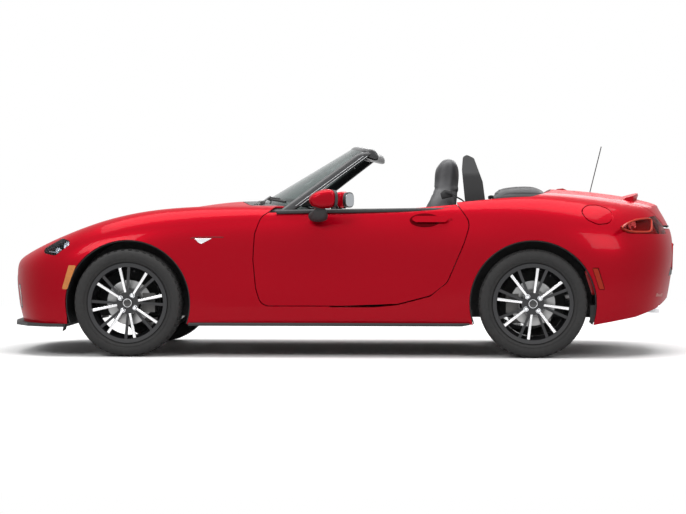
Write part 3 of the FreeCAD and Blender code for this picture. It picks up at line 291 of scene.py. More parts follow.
floorFinish.tree.links.new(spread.socket, floorFinish.output.inputs["Surface"])
floor.data.materials.append(floorFinish.material)

world = bpy.data.worlds.new("studio")
bpy.context.scene.world = world
world.use_nodes = True
worldTree = world.node_tree
background = worldTree.nodes["Background"]
background.inputs["Color"].default_value = (1, 1, 1, 1)
background.inputs["Strength"].default_value = studio["skyStrength"]
backdrop = worldTree.nodes.new("ShaderNodeBackground")
backdrop.inputs["Color"].default_value = (1, 1, 1, 1)
backdrop.inputs["Strength"].default_value = studio["backdropStrength"]
paths = worldTree.nodes.new("ShaderNodeLightPath")
either = worldTree.nodes.new("ShaderNodeMath")
either.operation = "MAXIMUM"
worldTree.links.new(paths.outputs["Is Camera Ray"], either.inputs[0])
worldTree.links.new(paths.outputs["Is Glossy Ray"], either.inputs[1])
anyRay = worldTree.nodes.new("ShaderNodeMath")
anyRay.operation = "MAXIMUM"
worldTree.links.new(either.outputs[0], anyRay.inputs[0])
worldTree.links.new(paths.outputs["Is Transmission Ray"], anyRay.inputs[1])
blend = worldTree.nodes.new("ShaderNodeMixShader")
worldTree.links.new(anyRay.outputs[0], blend.inputs[0])
worldTree.links.new(background.outputs[0], blend.inputs[1])
worldTree.links.new(backdrop.outputs[0], blend.inputs[2])
worldTree.links.new(blend.outputs[0], worldTree.nodes["World Output"].inputs["Surface"])


def softLamp(name, place, aim, size, power):
    bpy.ops.object.light_add(type="AREA", location=place)
    lamp = bpy.context.object
    lamp.name = name
    lamp.data.shape = "RECTANGLE"
    lamp.data.size = size[0]
    lamp.data.size_y = size[1]
    lamp.data.energy = power
    lamp.rotation_euler = (Vector(aim) - Vector(place)).to_track_quat("-Z", "Y").to_euler()
    return lamp


softLamp("overheadLamp", (0, 0, 7), (0, 0, 0), (9, 5), 640)
softLamp("keyLamp", (-4.5, -8, 6), (0, 0, .5), (4, 3), 330)
softLamp("fillLamp", (6, -7, 5), (.5, 0, .5), (4, 3), 190)
softLamp("rearLamp", (2, 8, 5), (0, 0, .5), (6, 3), 300)

# Modelling helpers: each leaves one finished mesh whose object sits at the origin.
def chooseOnly(piece):
    if bpy.context.object and bpy.context.object.mode != "OBJECT":
        bpy.ops.object.mode_set(mode="OBJECT")
    bpy.ops.object.select_all(action="DESELECT")
    piece.select_set(True)
    bpy.context.view_layer.objects.active = piece


def startPiece(name):
    piece = bpy.context.object
    piece.name = name
    bpy.ops.object.transform_apply(location=True, rotation=True, scale=True)
    return piece


def select(piece, kind, test):  # kind is VERT, EDGE or FACE; the test sees a corner's place or a face's middle and normal
    chooseOnly(piece)
    bpy.ops.object.mode_set(mode="EDIT")
    bpy.ops.mesh.select_mode(type=kind)
    bpy.ops.mesh.select_all(action="DESELECT")
    bpy.ops.object.mode_set(mode="OBJECT")
    mesh = piece.data
    if kind == "FACE":
        for face in mesh.polygons:
            face.select = test(face.center, face.normal)
    else:
        for corner in mesh.vertices:
            corner.select = test(corner.co)
    bpy.ops.object.mode_set(mode="EDIT")


def applyModifier(piece, kind, **settings):
    chooseOnly(piece)
    modifier = piece.modifiers.new(kind.lower(), kind)
    for setting, value in settings.items():
        setattr(modifier, setting, value)
    bpy.ops.object.modifier_apply(modifier=modifier.name)


def soften(piece, width, segments=2, angle=30):
    applyModifier(piece, "BEVEL", width=width, segments=segments, limit_method="ANGLE", angle_limit=math.radians(angle))


def finish(piece, body, look, slot=None, angle=35, stands=()):
    chooseOnly(piece)
    bpy.ops.object.mode_set(mode="EDIT")
    bpy.ops.mesh.select_all(action="SELECT")
    bpy.ops.mesh.remove_doubles(threshold=.00001)
    bpy.ops.mesh.normals_make_consistent(inside=False)
    bpy.ops.object.mode_set(mode="OBJECT")
    bpy.ops.object.transform_apply(location=True, rotation=True, scale=True)
    bpy.ops.object.shade_smooth_by_angle(angle=math.radians(angle))
    piece.data.materials.clear()
    piece.data.materials.append(look.material)
    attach(piece, body)
    for node in stands:
        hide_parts(node)
    return piece


def boxPiece(name, low, high, bevel=0.0):
    bpy.ops.object.select_all(action="DESELECT")
    low, high = Vector(low), Vector(high)
    bpy.ops.mesh.primitive_cube_add(size=1, location=(low + high) / 2, scale=high - low)
    piece = startPiece(name)
    if bevel:
        soften(piece, bevel)
    return piece


def rodPiece(name, start, end, radius, sides=24, bevel=0.0, topRadius=None):
    bpy.ops.object.select_all(action="DESELECT")
    start, end = Vector(start), Vector(end)
    turn = (end - start).to_track_quat("Z", "Y").to_euler()
    bpy.ops.mesh.primitive_cone_add(vertices=sides, radius1=radius, radius2=radius if topRadius is None else topRadius,
                                    depth=(end - start).length, location=(start + end) / 2, rotation=turn)
    piece = startPiece(name)
    if bevel:
        soften(piece, bevel, 2, 50)
    return piece


def ringPiece(name, centre, axis, radius, thickness, around=48, across=10):
    bpy.ops.object.select_all(action="DESELECT")
    turn = Vector(axis).to_track_quat("Z", "Y").to_euler()
    bpy.ops.mesh.primitive_torus_add(major_radius=radius, minor_radius=thickness, major_segments=around,
                                     minor_segments=across, location=centre, rotation=turn)
    return startPiece(name)


def ballPiece(name, centre, size, around=32, up=16):
    bpy.ops.object.select_all(action="DESELECT")
    bpy.ops.mesh.primitive_uv_sphere_add(segments=around, ring_count=up, radius=1, location=centre, scale=size)
    return startPiece(name)


def drawLine(name, points):  # a vertex drawn along the points by extruding it
    bpy.ops.object.select_all(action="DESELECT")
    bpy.ops.mesh.primitive_plane_add(size=.001, location=points[0])
    piece = startPiece(name)
    bpy.ops.object.mode_set(mode="EDIT")
    bpy.ops.mesh.select_mode(type="VERT")
    bpy.ops.mesh.select_all(action="SELECT")
    bpy.ops.mesh.merge(type="CENTER")
    for before, after in zip(points, points[1:]):
        step = Vector(after) - Vector(before)
        bpy.ops.mesh.extrude_region_move(TRANSFORM_OT_translate={"value": step})
    return piece


def turnedPiece(name, profile, centre, axis=(0, 1, 0), steps=64):  # pairs of (along the axis, from the axis)
    axis = Vector(axis).normalized()
    side = axis.orthogonal().normalized()
    centre = Vector(centre)
    points = [centre + axis * a + side * r for a, r in profile]
    piece = drawLine(name, points)
    bpy.ops.mesh.select_all(action="SELECT")
    bpy.ops.mesh.spin(steps=steps, angle=math.tau, center=centre, axis=axis, dupli=False)
    bpy.ops.mesh.select_all(action="SELECT")
    bpy.ops.mesh.remove_doubles(threshold=.00002)
    bpy.ops.mesh.normals_make_consistent(inside=False)
    bpy.ops.object.mode_set(mode="OBJECT")
    return piece


def platePiece(name, outline, push, bevel=0.0):  # a closed outline filled and pushed along a vector
    piece = drawLine(name, list(outline) + [outline[0]])
    bpy.ops.mesh.select_all(action="SELECT")
    bpy.ops.mesh.remove_doubles(threshold=.00002)
    bpy.ops.mesh.edge_face_add()
    bpy.ops.mesh.select_all(action="SELECT")
    bpy.ops.mesh.extrude_region_move(TRANSFORM_OT_translate={"value": Vector(push)})
    bpy.ops.mesh.select_all(action="SELECT")
    bpy.ops.mesh.normals_make_consistent(inside=False)
    bpy.ops.object.mode_set(mode="OBJECT")
    if bevel:
        soften(piece, bevel)
    return piece


def tubePiece(name, points, radius, sides=8, closed=False, smooth=True):
    bpy.ops.object.select_all(action="DESELECT")
    bpy.ops.curve.primitive_nurbs_path_add()
    path = bpy.context.object
    path.name = name
    path.data.splines.clear()
    spline = path.data.splines.new("NURBS" if smooth else "POLY")
    spline.points.add(len(points) - 1)
    for knot, place in zip(spline.points, points):
        knot.co = (place[0], place[1], place[2], 1)
    spline.use_endpoint_u = not closed
    spline.use_cyclic_u = closed
    spline.order_u = 3
    path.location = (0, 0, 0)
    path.data.resolution_u = 4
    path.data.bevel_depth = radius
    path.data.bevel_resolution = max(1, sides // 4)
    path.data.use_fill_caps = True
    bpy.ops.object.convert(target="MESH")
    return bpy.context.object


def joined(name, pieces):
    chooseOnly(pieces[0])
    for piece in pieces:
        piece.select_set(True)
    bpy.ops.object.join()
    pieces[0].name = name
    return pieces[0]


def copyOf(piece, name, matrix):
    twin = piece.copy()
    twin.data = piece.data.copy()
    twin.name = name
    bpy.context.collection.objects.link(twin)
    twin.data.transform(matrix)
    if matrix.determinant() < 0:
        twin.data.flip_normals()
    return twin


def aroundAxis(centre, axis, angle):
    return Matrix.Translation(centre) @ Matrix.Rotation(angle, 4, axis) @ Matrix.Translation(-Vector(centre))


def twinOnRight(piece, name):
    return copyOf(piece, name, Matrix.Diagonal((1, -1, 1, 1)))


def skinPoint(node, x, z, side=-1):  # where the outside of a node is, seen from the side
    start = Vector((x, side * 2, z))
    found, place, normal, face = nodes[node].ray_cast(start, Vector((0, -side, 0)))
    return place if found else Vector((x, side * halfWidth, z))


def topPoint(node, x, y):
    found, place, normal, face = nodes[node].ray_cast(Vector((x, y, 3)), Vector((0, 0, -1)))
    return place if found else Vector((x, y, beltHeight))


print("wheels and tyres")
wheelLook = {"spokes": 8, "frontTurn": -12, "rearTurn": 7.5, "spokeInner": .062, "spokeOuter": .203, "innerWidth": .0115,
             "outerWidth": .0155, "innerFace": -.0785, "outerFace": -.0903, "thickness": .0022, "bolts": 4,
             "boltCircle": .050, "rimLip": .2275, "treadRows": 5, "treadSteps": 90}


def brightSpoke(name, look):
    inner, outer = look["spokeInner"], look["spokeOuter"]
    bpy.ops.object.select_all(action="DESELECT")
    bpy.ops.mesh.primitive_cube_add(size=1, location=(0, 0, (inner + outer) / 2),
                                    scale=(look["innerWidth"], look["thickness"], outer - inner))
    piece = startPiece(name)
    select(piece, "FACE", lambda place, normal: normal.z > .9)
    bpy.ops.transform.resize(value=(look["outerWidth"] / look["innerWidth"], 1, 1))
    bpy.ops.transform.translate(value=(0, look["outerFace"] - look["innerFace"], 0))
    select(piece, "FACE", lambda place, normal: normal.y < -.5)
    bpy.ops.mesh.inset(thickness=.0012, depth=.0006)
    bpy.ops.object.mode_set(mode="OBJECT")
    piece.data.transform(Matrix.Translation((0, look["innerFace"] - look["thickness"] / 3, 0)))
    return piece


def dressWheel(corner, turn, look):
    centre = middleOf("wheel_" + corner)
    outward = -1 if centre.y < 0 else 1
    parts = []
    master = brightSpoke("spoke", look)
    for step in range(look["spokes"]):
        lean = math.radians(turn + step * 360 / look["spokes"])
        parts.append(copyOf(master, "brightSpoke", Matrix.Rotation(lean, 4, "Y")))
    bpy.data.objects.remove(master)
    bright = joined("spokeFaces_" + corner, parts)
    bright.data.transform(Matrix.Translation(centre) @ Matrix.Diagonal((1, -outward, 1, 1)))
    if outward > 0:
        bright.data.flip_normals()
    finish(bright, "wheel_" + corner, brightAlloy, "wheel_metal", 30)
    face = centre + Vector((0, outward * .0790, 0))
    bolts = []
    for step in range(look["bolts"]):
        lean = math.radians(45 + turn + step * 360 / look["bolts"])
        place = face + Vector((math.sin(lean), 0, math.cos(lean))) * look["boltCircle"]
        nut = rodPiece("nut", place - Vector((0, outward * .004, 0)), place + Vector((0, outward * .010, 0)), .0095, 6, .0012)
        bolts.append(nut)
        bolts.append(turnedPiece("seat", [(outward * .0, .0105), (outward * .002, .0125), (outward * .0005, .0145)], place,
                                 steps=20))
    finish(joined("wheelNuts_" + corner, bolts), "wheel_" + corner, chrome, "wheel_metal", 30)
    capRing = ringPiece("capRing_" + corner, face + Vector((0, outward * .0095, 0)), (0, 1, 0), .0235, .0016)
    finish(capRing, "wheel_" + corner, chrome, "wheel_metal")
    capDish = [(outward * .0085, .0225), (outward * .0105, .019), (outward * .0112, .010), (outward * .0115, .0002)]
    finish(turnedPiece("capFace_" + corner, capDish, face, steps=40), "wheel_" + corner, blackPaint, "wheel_metal", 40)
    discFace = [(outward * .0098, .128), (outward * .0104, .1265), (outward * .0104, .072), (outward * .0098, .0705)]
    disc = turnedPiece("discFace_" + corner, discFace, centre, steps=72)
    finish(disc, "wheel_" + corner, brakeMetal, "wheel_metal", 40)
    lip = [(outward * .0935, .2165), (outward * .0952, .2255), (outward * .0948, .2282), (outward * .0925, .2284)]
    finish(turnedPiece("rimLip_" + corner, lip, centre, steps=96), "wheel_" + corner, darkAlloy, "wheel_metal", 40)
    stem = centre + Vector((math.sin(math.radians(turn + 24)), 0, math.cos(math.radians(turn + 24)))) * .196
    stemTip = stem + Vector((0, outward * .024, 0)) - (stem - centre).normalized() * .012
    stem = stem + Vector((0, outward * .060, 0))
    stemTip = stemTip + Vector((0, outward * .060, 0))
    finish(rodPiece("valve_" + corner, stem, stemTip, .004, 12, .0008), "wheel_" + corner, blackPlastic, "wheel_metal")


def dressTyre(corner, look):
    low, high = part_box("tyre_" + corner)
    centre = middleOf("tyre_" + corner)
    radius = (high[2] - low[2]) / 2
    half = (high[1] - low[1]) / 2
    wall = [(.79, .742), (.86, .748), (.925, .772), (.962, .800), (.985, .835), (1.0, .872), (.992, .902), (.972, .930),
            (.945, .952), (.900, .970), (.845, .9825), (.780, .9905), (.700, .9955)]
    groove = .955
    tread = [(.645, .9975), (.625, .968), (.600, .968), (.580, .9985), (.250, 1.0), (.232, groove + .01),
             (.185, groove + .01), (.167, 1.0)]
    left = wall + tread
    profile = [(-half * a, radius * b) for a, b in left] + [(half * a, radius * b) for a, b in reversed(left)]
    profile.append((half * .70, radius * .715))
    profile.append((-half * .70, radius * .715))
    profile.append(profile[0])
    tyre = turnedPiece("tyreBody_" + corner, profile, centre, steps=look["treadSteps"])

    def isBlockEdge(place, normal):
        offset = place - centre
        across = abs(offset.y) / half
        count = int((math.atan2(offset.x, offset.z) + math.tau) / math.tau * look["treadSteps"] + (1 if offset.y > 0 else 0))
        out = math.hypot(offset.x, offset.z) / radius
        return out > .975 and (.66 < across < .90 or .27 < across < .56) and count % 2 == 0

    select(tyre, "FACE", isBlockEdge)
    bpy.ops.mesh.inset(thickness=.0016, depth=-.0045, use_individual=True)
    bpy.ops.object.mode_set(mode="OBJECT")
    ribs = []
    for share in (.800, .812, .905):
        place = next(a for a, b in left if b >= share)
        ribs.append(ringPiece("rib", centre + Vector((0, -half * place * .992, 0)), (0, 1, 0), radius * share, .0011, 90, 6))
        ribs.append(ringPiece("rib", centre + Vector((0, half * place * .992, 0)), (0, 1, 0), radius * share, .0011, 90, 6))
    finish(joined("tyreDress_" + corner, [tyre] + ribs), "wheel_" + corner, rubber, "tyre_rubber", 28,
           ["tyre_" + corner])


for corner, turn in (("front_left", wheelLook["frontTurn"]), ("front_right", wheelLook["frontTurn"]),
                     ("rear_left", wheelLook["rearTurn"]), ("rear_right", wheelLook["rearTurn"])):
    dressWheel(corner, turn, wheelLook)
    dressTyre(corner, wheelLook)

print("seats")


def isOn(place, ring):
    return any((place - Vector(point)).length < .00004 for point in ring)


def loftPiece(name, rings):  # closed rings of as many points each, bridged one to the next and capped
    piece = None
    for index, ring in enumerate(rings):
        hoop = drawLine(name, list(ring) + [ring[0]])
        bpy.ops.mesh.select_all(action="SELECT")
        bpy.ops.mesh.remove_doubles(threshold=.00002)
        bpy.ops.object.mode_set(mode="OBJECT")
        if piece:
            piece = joined(name, [piece, hoop])
            select(piece, "VERT", lambda place: isOn(place, rings[index - 1]) or isOn(place, ring))
            bpy.ops.mesh.bridge_edge_loops()
            bpy.ops.object.mode_set(mode="OBJECT")
        piece = piece or hoop
    chooseOnly(piece)
    bpy.ops.object.mode_set(mode="EDIT")
    bpy.ops.mesh.select_all(action="SELECT")
    bpy.ops.mesh.fill_holes(sides=0)
    bpy.ops.mesh.select_all(action="SELECT")
    bpy.ops.mesh.normals_make_consistent(inside=False)
    bpy.ops.object.mode_set(mode="OBJECT")
    return piece


def puffed(piece, voxel, pressure, most):  # blown up as cloth; no corner moves farther than the most given
    applyModifier(piece, "SUBSURF", levels=2, render_levels=2)
    applyModifier(piece, "REMESH", mode="VOXEL", voxel_size=voxel)
    before = [corner.co.copy() for corner in piece.data.vertices]
    chooseOnly(piece)
    cloth = piece.modifiers.new("cloth", "CLOTH")
    cloth.settings.use_pressure = True
    cloth.settings.uniform_pressure_force = pressure
    cloth.settings.effector_weights.gravity = 0
    for moment in range(1, 21):
        bpy.context.scene.frame_set(moment)
    bpy.ops.object.modifier_apply(modifier=cloth.name)
    bpy.context.scene.frame_set(1)
    for corner, start in zip(piece.data.vertices, before):
        step = corner.co - start
        if step.length > most:
            corner.co = start + step * (most / step.length)
    applyModifier(piece, "SMOOTH", factor=.5, iterations=4)
    applyModifier(piece, "SUBSURF", levels=1, render_levels=1)
    return piece


def pressIn(piece, test, push, reach=.010):  # a sewn line pulled in, with the cloth beside it following
    select(piece, "VERT", test)
    bpy.ops.transform.translate(value=push, use_proportional_edit=True, proportional_edit_falloff="SMOOTH",
                                proportional_size=reach)
    bpy.ops.object.mode_set(mode="OBJECT")


seat = {"middle": -.370, "puff": .012, "voxel": .010, "pressure": 4.0, "insertHalf": .135, "groove": .0045,
        "pipe": .0022, "channelStart": .085, "channelStep": .062, "channels": 5}
# station, middle, bolster and rear places, then half width
backStations = [(.330, .425, .385, .590, .215), (.420, .432, .378, .600, .232), (.540, .458, .392, .618, .240),
                (.680, .488, .425, .636, .238), (.800, .512, .462, .648, .230), (.880, .530, .496, .655, .214),
                (.935, .546, .528, .660, .170), (.985, .552, .546, .664, .128), (1.050, .552, .552, .672, .116),
                (1.105, .562, .566, .672, .110), (1.138, .582, .588, .660, .090), (1.152, .606, .610, .642, .050)]
cushionStations = [(.018, .352, .350, .262, .185), (.034, .392, .396, .228, .212), (.090, .408, .420, .214, .232),
                   (.170, .402, .436, .210, .240), (.260, .384, .444, .210, .240), (.350, .364, .446, .210, .236),
                   (.430, .358, .440, .212, .226)]


def backRing(z, front, bolster, rear, half):
    side = [(front, .0), (front, .55), (bolster, .70), (bolster + .012, .92), ((bolster + rear) / 2, 1.0),
            (rear - .012, .88), (rear, .45)]
    ring = [(x, seat["middle"] + half * y, z) for x, y in side]
    ring += [(rear, seat["middle"], z)]
    ring += [(x, seat["middle"] - half * y, z) for x, y in reversed(side[1:])]
    return ring


def cushionRing(x, top, bolster, bottom, half):
    side = [(top, .0), (top, .55), (bolster, .72), (bolster - .012, .93), ((bolster + bottom) / 2, 1.0),
            (bottom + .010, .90), (bottom, .45)]
    ring = [(x, seat["middle"] + half * y, z) for z, y in side]
    ring += [(x, seat["middle"], bottom)]
    ring += [(x, seat["middle"] - half * y, z) for z, y in reversed(side[1:])]
    return ring


def onPiece(piece, start, towards):
    found, place, normal, face = piece.ray_cast(Vector(start), Vector(towards))
    return place if found else Vector(start)


seatBack = loftPiece("seatBack_left", [backRing(*station) for station in backStations])
seatBack = puffed(seatBack, seat["voxel"], seat["pressure"], seat["puff"])
cushion = loftPiece("seatCushion_left", [cushionRing(*station) for station in cushionStations])
cushion = puffed(cushion, seat["voxel"], seat["pressure"], seat["puff"])
for index in range(seat["channels"]):
    line = seat["channelStart"] + index * seat["channelStep"]
    pressIn(cushion, lambda p: abs(p.x - line) < .0045 and abs(p.y - seat["middle"]) < seat["insertHalf"] - .012
            and p.z > .32, (0, 0, -seat["groove"]))
for index in range(6):
    line = .470 + index * .068
    pressIn(seatBack, lambda p: abs(p.z - line) < .0045 and abs(p.y - seat["middle"]) < seat["insertHalf"] - .020
            and p.x < .56, (seat["groove"], 0, 0))
pressIn(seatBack, lambda p: abs(p.z - .962) < .006, (.004, 0, 0), .014)
pipes = []
for side in (-1, 1):
    lane = seat["middle"] + side * seat["insertHalf"]
    seam = [onPiece(cushion, (.035 + step * .036, lane, .6), (0, 0, -1)) for step in range(11)]
    pipes.append(tubePiece("pipe", seam, seat["pipe"], 8))
    lanes = [(.43 + step * .045, seat["insertHalf"] * (1 - .30 * max(0, step - 8) / 4)) for step in range(12)]
    seam = [onPiece(seatBack, (.30, seat["middle"] + side * out, up), (1, 0, 0)) for up, out in lanes]
    pipes.append(tubePiece("pipe", seam, seat["pipe"], 8))
seatPiping = joined("seatPiping_left", pipes)
recliner = platePiece("seatTrim_left", [(.28, -.614, .250), (.30, -.614, .330), (.40, -.614, .385), (.50, -.614, .400),
                                       (.575, -.614, .360), (.585, -.614, .270), (.52, -.614, .225),
                                       (.36, -.614, .225)], (0, .018, 0), .004)
reclinerLever = boxPiece("seatLever_left", (.31, -.622, .262), (.43, -.612, .282), .004)
rails = joined("seatRails_left", [boxPiece("rail", (.03, seat["middle"] + side * .19 - .014, .203),
                                           (.56, seat["middle"] + side * .19 + .014, .222), .003) for side in (-1, 1)])
beltGuide = platePiece("beltGuide_left", [(.585, -.585, .900), (.575, -.585, .935), (.600, -.585, .958),
                                          (.640, -.585, .950), (.648, -.585, .915)], (0, .022, 0), .005)
beltStrap = platePiece("beltStrap_left", [(.605, -.600, .944), (.640, -.603, .935), (.700, -.618, .902),
                                          (.735, -.628, .872), (.737, -.628, .866), (.700, -.618, .896),
                                          (.640, -.603, .929), (.605, -.600, .938)], (0, .042, 0))
buckle = boxPiece("beltBuckle_left", (.470, -.128, .40), (.500, -.112, .47), .005)
seatLook = Finish("seatLeather", Base_Color=rgb(.05, .05, .054), Roughness=.5, Sheen_Weight=.15, Sheen_Roughness=.4)
hide = seatLook.node("ShaderNodeTexVoronoi", {}, {"Vector": seatLook.place(), "Scale": 520.0}, "Distance")
seatLook.drive(Base_Color=seatLook.colours(seatLook.noise(28.0, 4.0), rgb(.034, .034, .037), rgb(.066, .066, .070)),
               Roughness=seatLook.ranged(seatLook.noise(90.0), .42, .58))
seatLook.bump(hide, .3, .0007)
stitched = Finish("seatPipingCloth", Base_Color=rgb(.11, .11, .12), Roughness=.7)
stitched.drive(Base_Color=stitched.colours(stitched.noise(800.0, 1.0), rgb(.07, .07, .075), rgb(.18, .18, .19)))
stitched.bump(stitched.noise(1500.0, 1.0), .4, .0004)
webbing = Finish("beltWebbing", Base_Color=rgb(.02, .02, .022), Roughness=.75)
ribs = webbing.node("ShaderNodeTexWave", {}, {"Vector": webbing.place(), "Scale": 260.0}, "Fac")
webbing.bump(ribs, .4, .0006)
for piece, look, slot in ((seatBack, seatLook, "seat_fabric"), (cushion, seatLook, "seat_fabric"),
                          (seatPiping, stitched, "seat_fabric"), (recliner, blackPlastic, "black_plastic"),
                          (reclinerLever, blackPlastic, "black_plastic"), (rails, casting, "cast_metal"),
                          (beltGuide, blackPlastic, "black_plastic"), (beltStrap, webbing, "seat_fabric"),
                          (buckle, blackPlastic, "black_plastic")):
    finish(piece, "car", look, slot, 60)
    twin = twinOnRight(piece, piece.name.replace("left", "right"))
    finish(twin, "car", look, slot, 60)
    if piece in (seatBack, cushion):
        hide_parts("seat_left")
        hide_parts("seat_right")


print("soft top and hoops")
topFold = {"front": .862, "rear": 1.206, "half": .600, "low": .832, "crown": .984, "layers": 4, "layerGap": .024}


def topRing(x, low, top, half):
    side = [(0, top), (.45, top - .004), (.75, top - .014), (.93, top - .034), (1.0, (low + top) / 2 - .008),
            (.96, low + .012), (.60, low)]
    ring = [(x, half * y, z) for y, z in side]
    ring += [(x, 0, low)]
    ring += [(x, -half * y, z) for y, z in reversed(side[1:])]
    return ring


stackStations = [(.872, .850, .912, .540), (.884, .838, .940, .574), (.930, .832, .960, .592), (1.000, .832, .972, .600),
                 (1.090, .838, .975, .600), (1.150, .850, .970, .590), (1.184, .870, .958, .568),
                 (1.198, .888, .944, .540)]
topStack = loftPiece("softTopStack", [topRing(*station) for station in stackStations])
topStack = puffed(topStack, .012, 2.5, .007)
for level, inset in ((.866, 0), (.900, 0), (.930, .004)):
    pressIn(topStack, lambda p: abs(p.z - level) < .004 and p.x < .905, (.006, 0, 0), .011)
    pressIn(topStack, lambda p: abs(p.z - level) < .004 and p.y < -.535, (0, .006, 0), .011)
    pressIn(topStack, lambda p: abs(p.z - level) < .004 and p.y > .535, (0, -.006, 0), .011)
finish(topStack, "car", canvas, "roof_fabric", 60)
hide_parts("soft_top")
seams = []
for side in (-1, 1):
    line = [onPiece(topStack, (.885 + step * .031, side * .36, 1.2), (0, 0, -1)) for step in range(10)]
    seams.append(tubePiece("seam", line, .0022, 8))
line = [onPiece(topStack, (.925, -.56 + step * .08, 1.2), (0, 0, -1)) for step in range(15)]
seams.append(tubePiece("seam", line, .0022, 8))
finish(joined("softTopSeams", seams), "car", canvas, "roof_fabric", 60)
latches = [boxPiece("latch", (.862, side * .30 - .035, .905), (.884, side * .30 + .035, .925), .004)
           for side in (-1, 1)]
latches.append(rodPiece("latch", (.868, -.28, .915), (.868, .28, .915), .006, 16))
finish(joined("softTopLatchBar", latches), "car", blackPlastic, "black_plastic")

hoopRim = {"out": .148, "foot": .835, "shoulder": 1.055, "crown": 1.118, "tube": .020}
for side, word in ((-1, "left"), (1, "right")):
    middle = side * .370
    arch = [(.792, middle - hoopRim["out"], hoopRim["foot"]), (.776, middle - hoopRim["out"], .95),
            (.762, middle - hoopRim["out"] * .98, hoopRim["shoulder"]),
            (.756, middle - hoopRim["out"] * .62, hoopRim["crown"]), (.755, middle, hoopRim["crown"] + .010),
            (.756, middle + hoopRim["out"] * .62, hoopRim["crown"]),
            (.762, middle + hoopRim["out"] * .98, hoopRim["shoulder"]),
            (.776, middle + hoopRim["out"], .95), (.792, middle + hoopRim["out"], hoopRim["foot"])]
    finish(tubePiece("hoopRim_" + word, arch, hoopRim["tube"], 16), "car", vinyl, "hoop_vinyl", 60)
mesh = Finish("deflectorMesh", Base_Color=rgb(.012, .012, .013), Roughness=.6, Alpha=1.0)
holes = mesh.node("ShaderNodeTexVoronoi", {"feature": "DISTANCE_TO_EDGE"}, {"Vector": mesh.place(), "Scale": 190.0}, "Distance")
mesh.drive(Alpha=mesh.ranged(holes > .16, .85, .25))
deflector = platePiece("windDeflector", [(.790, -.175, .870), (.790, .175, .870), (.775, .165, 1.030),
                                         (.775, -.165, 1.030)], (.006, 0, 0), .002)
finish(deflector, "car", mesh, "black_plastic")
edge = [(.793, -.172, .872), (.778, -.162, 1.028), (.778, .162, 1.028), (.793, .172, .872)]
finish(tubePiece("deflectorEdge", edge, .006, 10, False, False), "car", blackPlastic, "black_plastic", 60)

print("dashboard")
dash = {"faceX": -.157, "topZ": .857, "ventRadius": .040, "driver": -.370}
vents = []
for y in (-.610, -.075, .075, .610):
    centre = (dash["faceX"] + .004, y, .790)
    vents.append(ringPiece("ventRing", centre, (1, 0, .12), dash["ventRadius"], .006))
    for level in range(-2, 3):
        reach = math.sqrt(dash["ventRadius"] ** 2 - (level * .015) ** 2)
        vents.append(boxPiece("ventBlade", (centre[0] - .012, y - reach, centre[2] + level * .015 - .0012),
                              (centre[0] + .003, y + reach, centre[2] + level * .015 + .0012)))
    vents.append(boxPiece("ventPost", (centre[0] - .004, y - .004, centre[2] - .034), (centre[0] + .008, y + .004,
                                                                                  centre[2] + .034), .002))
finish(joined("dashVents", vents), "car", blackPlastic, "black_plastic")
hoodOutline = [(-.235, .855), (-.225, .905), (-.185, .925), (-.120, .920), (-.108, .905), (-.160, .898),
               (-.176, .860)]
hood = platePiece("binnacleHood", [(x, dash["driver"] - .155, z) for x, z in hoodOutline], (0, .310, 0), .012)
finish(hood, "car", blackPlastic, "black_plastic")
hoodBack = platePiece("binnacleFace", [(-.172, dash["driver"] - .140, .800), (-.176, dash["driver"] - .140, .895),
                                       (-.176, dash["driver"] + .140, .895), (-.172, dash["driver"] + .140, .800)],
                      (.006, 0, 0), .002)
finish(hoodBack, "car", blackPaint, "black_paint")
dialLook = Finish("dialFace", Base_Color=rgb(.01, .01, .011), Roughness=.35)
dialLook.drive(Roughness=dialLook.ranged(dialLook.noise(80.0), .28, .42))
markLook = Finish("dialMarks", Base_Color=rgb(.75, .75, .75), Roughness=.4, Emission_Strength=.0)
markLook.drive(Base_Color=markLook.colours(markLook.noise(120.0), rgb(.62, .62, .62), rgb(.85, .85, .85)))
needleLook = Finish("dialNeedle", Base_Color=rgb(.8, .05, .02), Roughness=.4)
needleLook.drive(Base_Color=needleLook.colours(needleLook.noise(200.0), rgb(.7, .03, .01), rgb(.9, .08, .03)))
rims, faces, marks, needles = [], [], [], []
for y, radius, turnBy in ((-.088, .040, 2.2), (0, .050, 3.6), (.088, .040, 4.2)):
    centre = Vector((-.162, dash["driver"] + y, .850))
    rims.append(ringPiece("dialRim", centre, (1, 0, 0), radius, .0035, 40, 8))
    faces.append(rodPiece("dialFace", centre - Vector((.006, 0, 0)), centre + Vector((.001, 0, 0)), radius, 40))
    for tick in range(25):
        angle = math.radians(-130 + tick * 260 / 24)
        aim = Vector((0, math.sin(angle), math.cos(angle)))
        long = .30 if tick % 4 == 0 else .16
        mark = boxPiece("dialMark", (-.0004, -.0006, -radius * long / 2), (.0012, .0006, radius * long / 2))
        mark.data.transform(Matrix.Translation(centre + Vector((.001, 0, 0)) + aim * radius * (.90 - long / 2))
                            @ Matrix.Rotation(-angle, 4, "X"))
        marks.append(mark)
    needle = boxPiece("dialNeedle", (0, -.0009, -.008), (.0022, .0009, radius * .75))
    needle.data.transform(Matrix.Translation(centre + Vector((.002, 0, 0))) @ Matrix.Rotation(turnBy, 4, "X"))
    needles.append(needle)
    needles.append(rodPiece("dialHub", centre, centre + Vector((.005, 0, 0)), .006, 20))
finish(joined("dialRims", rims), "car", chrome, "bare_aluminium")
finish(joined("dialFaces", faces), "car", dialLook, "black_plastic")
finish(joined("dialMarks", marks), "car", markLook, "black_plastic")
finish(joined("dialNeedles", needles), "car", needleLook, "red_lens")
screenBody = boxPiece("screenBody", (-.200, -.105, .852), (-.186, .105, .955), .004)
finish(screenBody, "car", blackPlastic, "black_plastic")
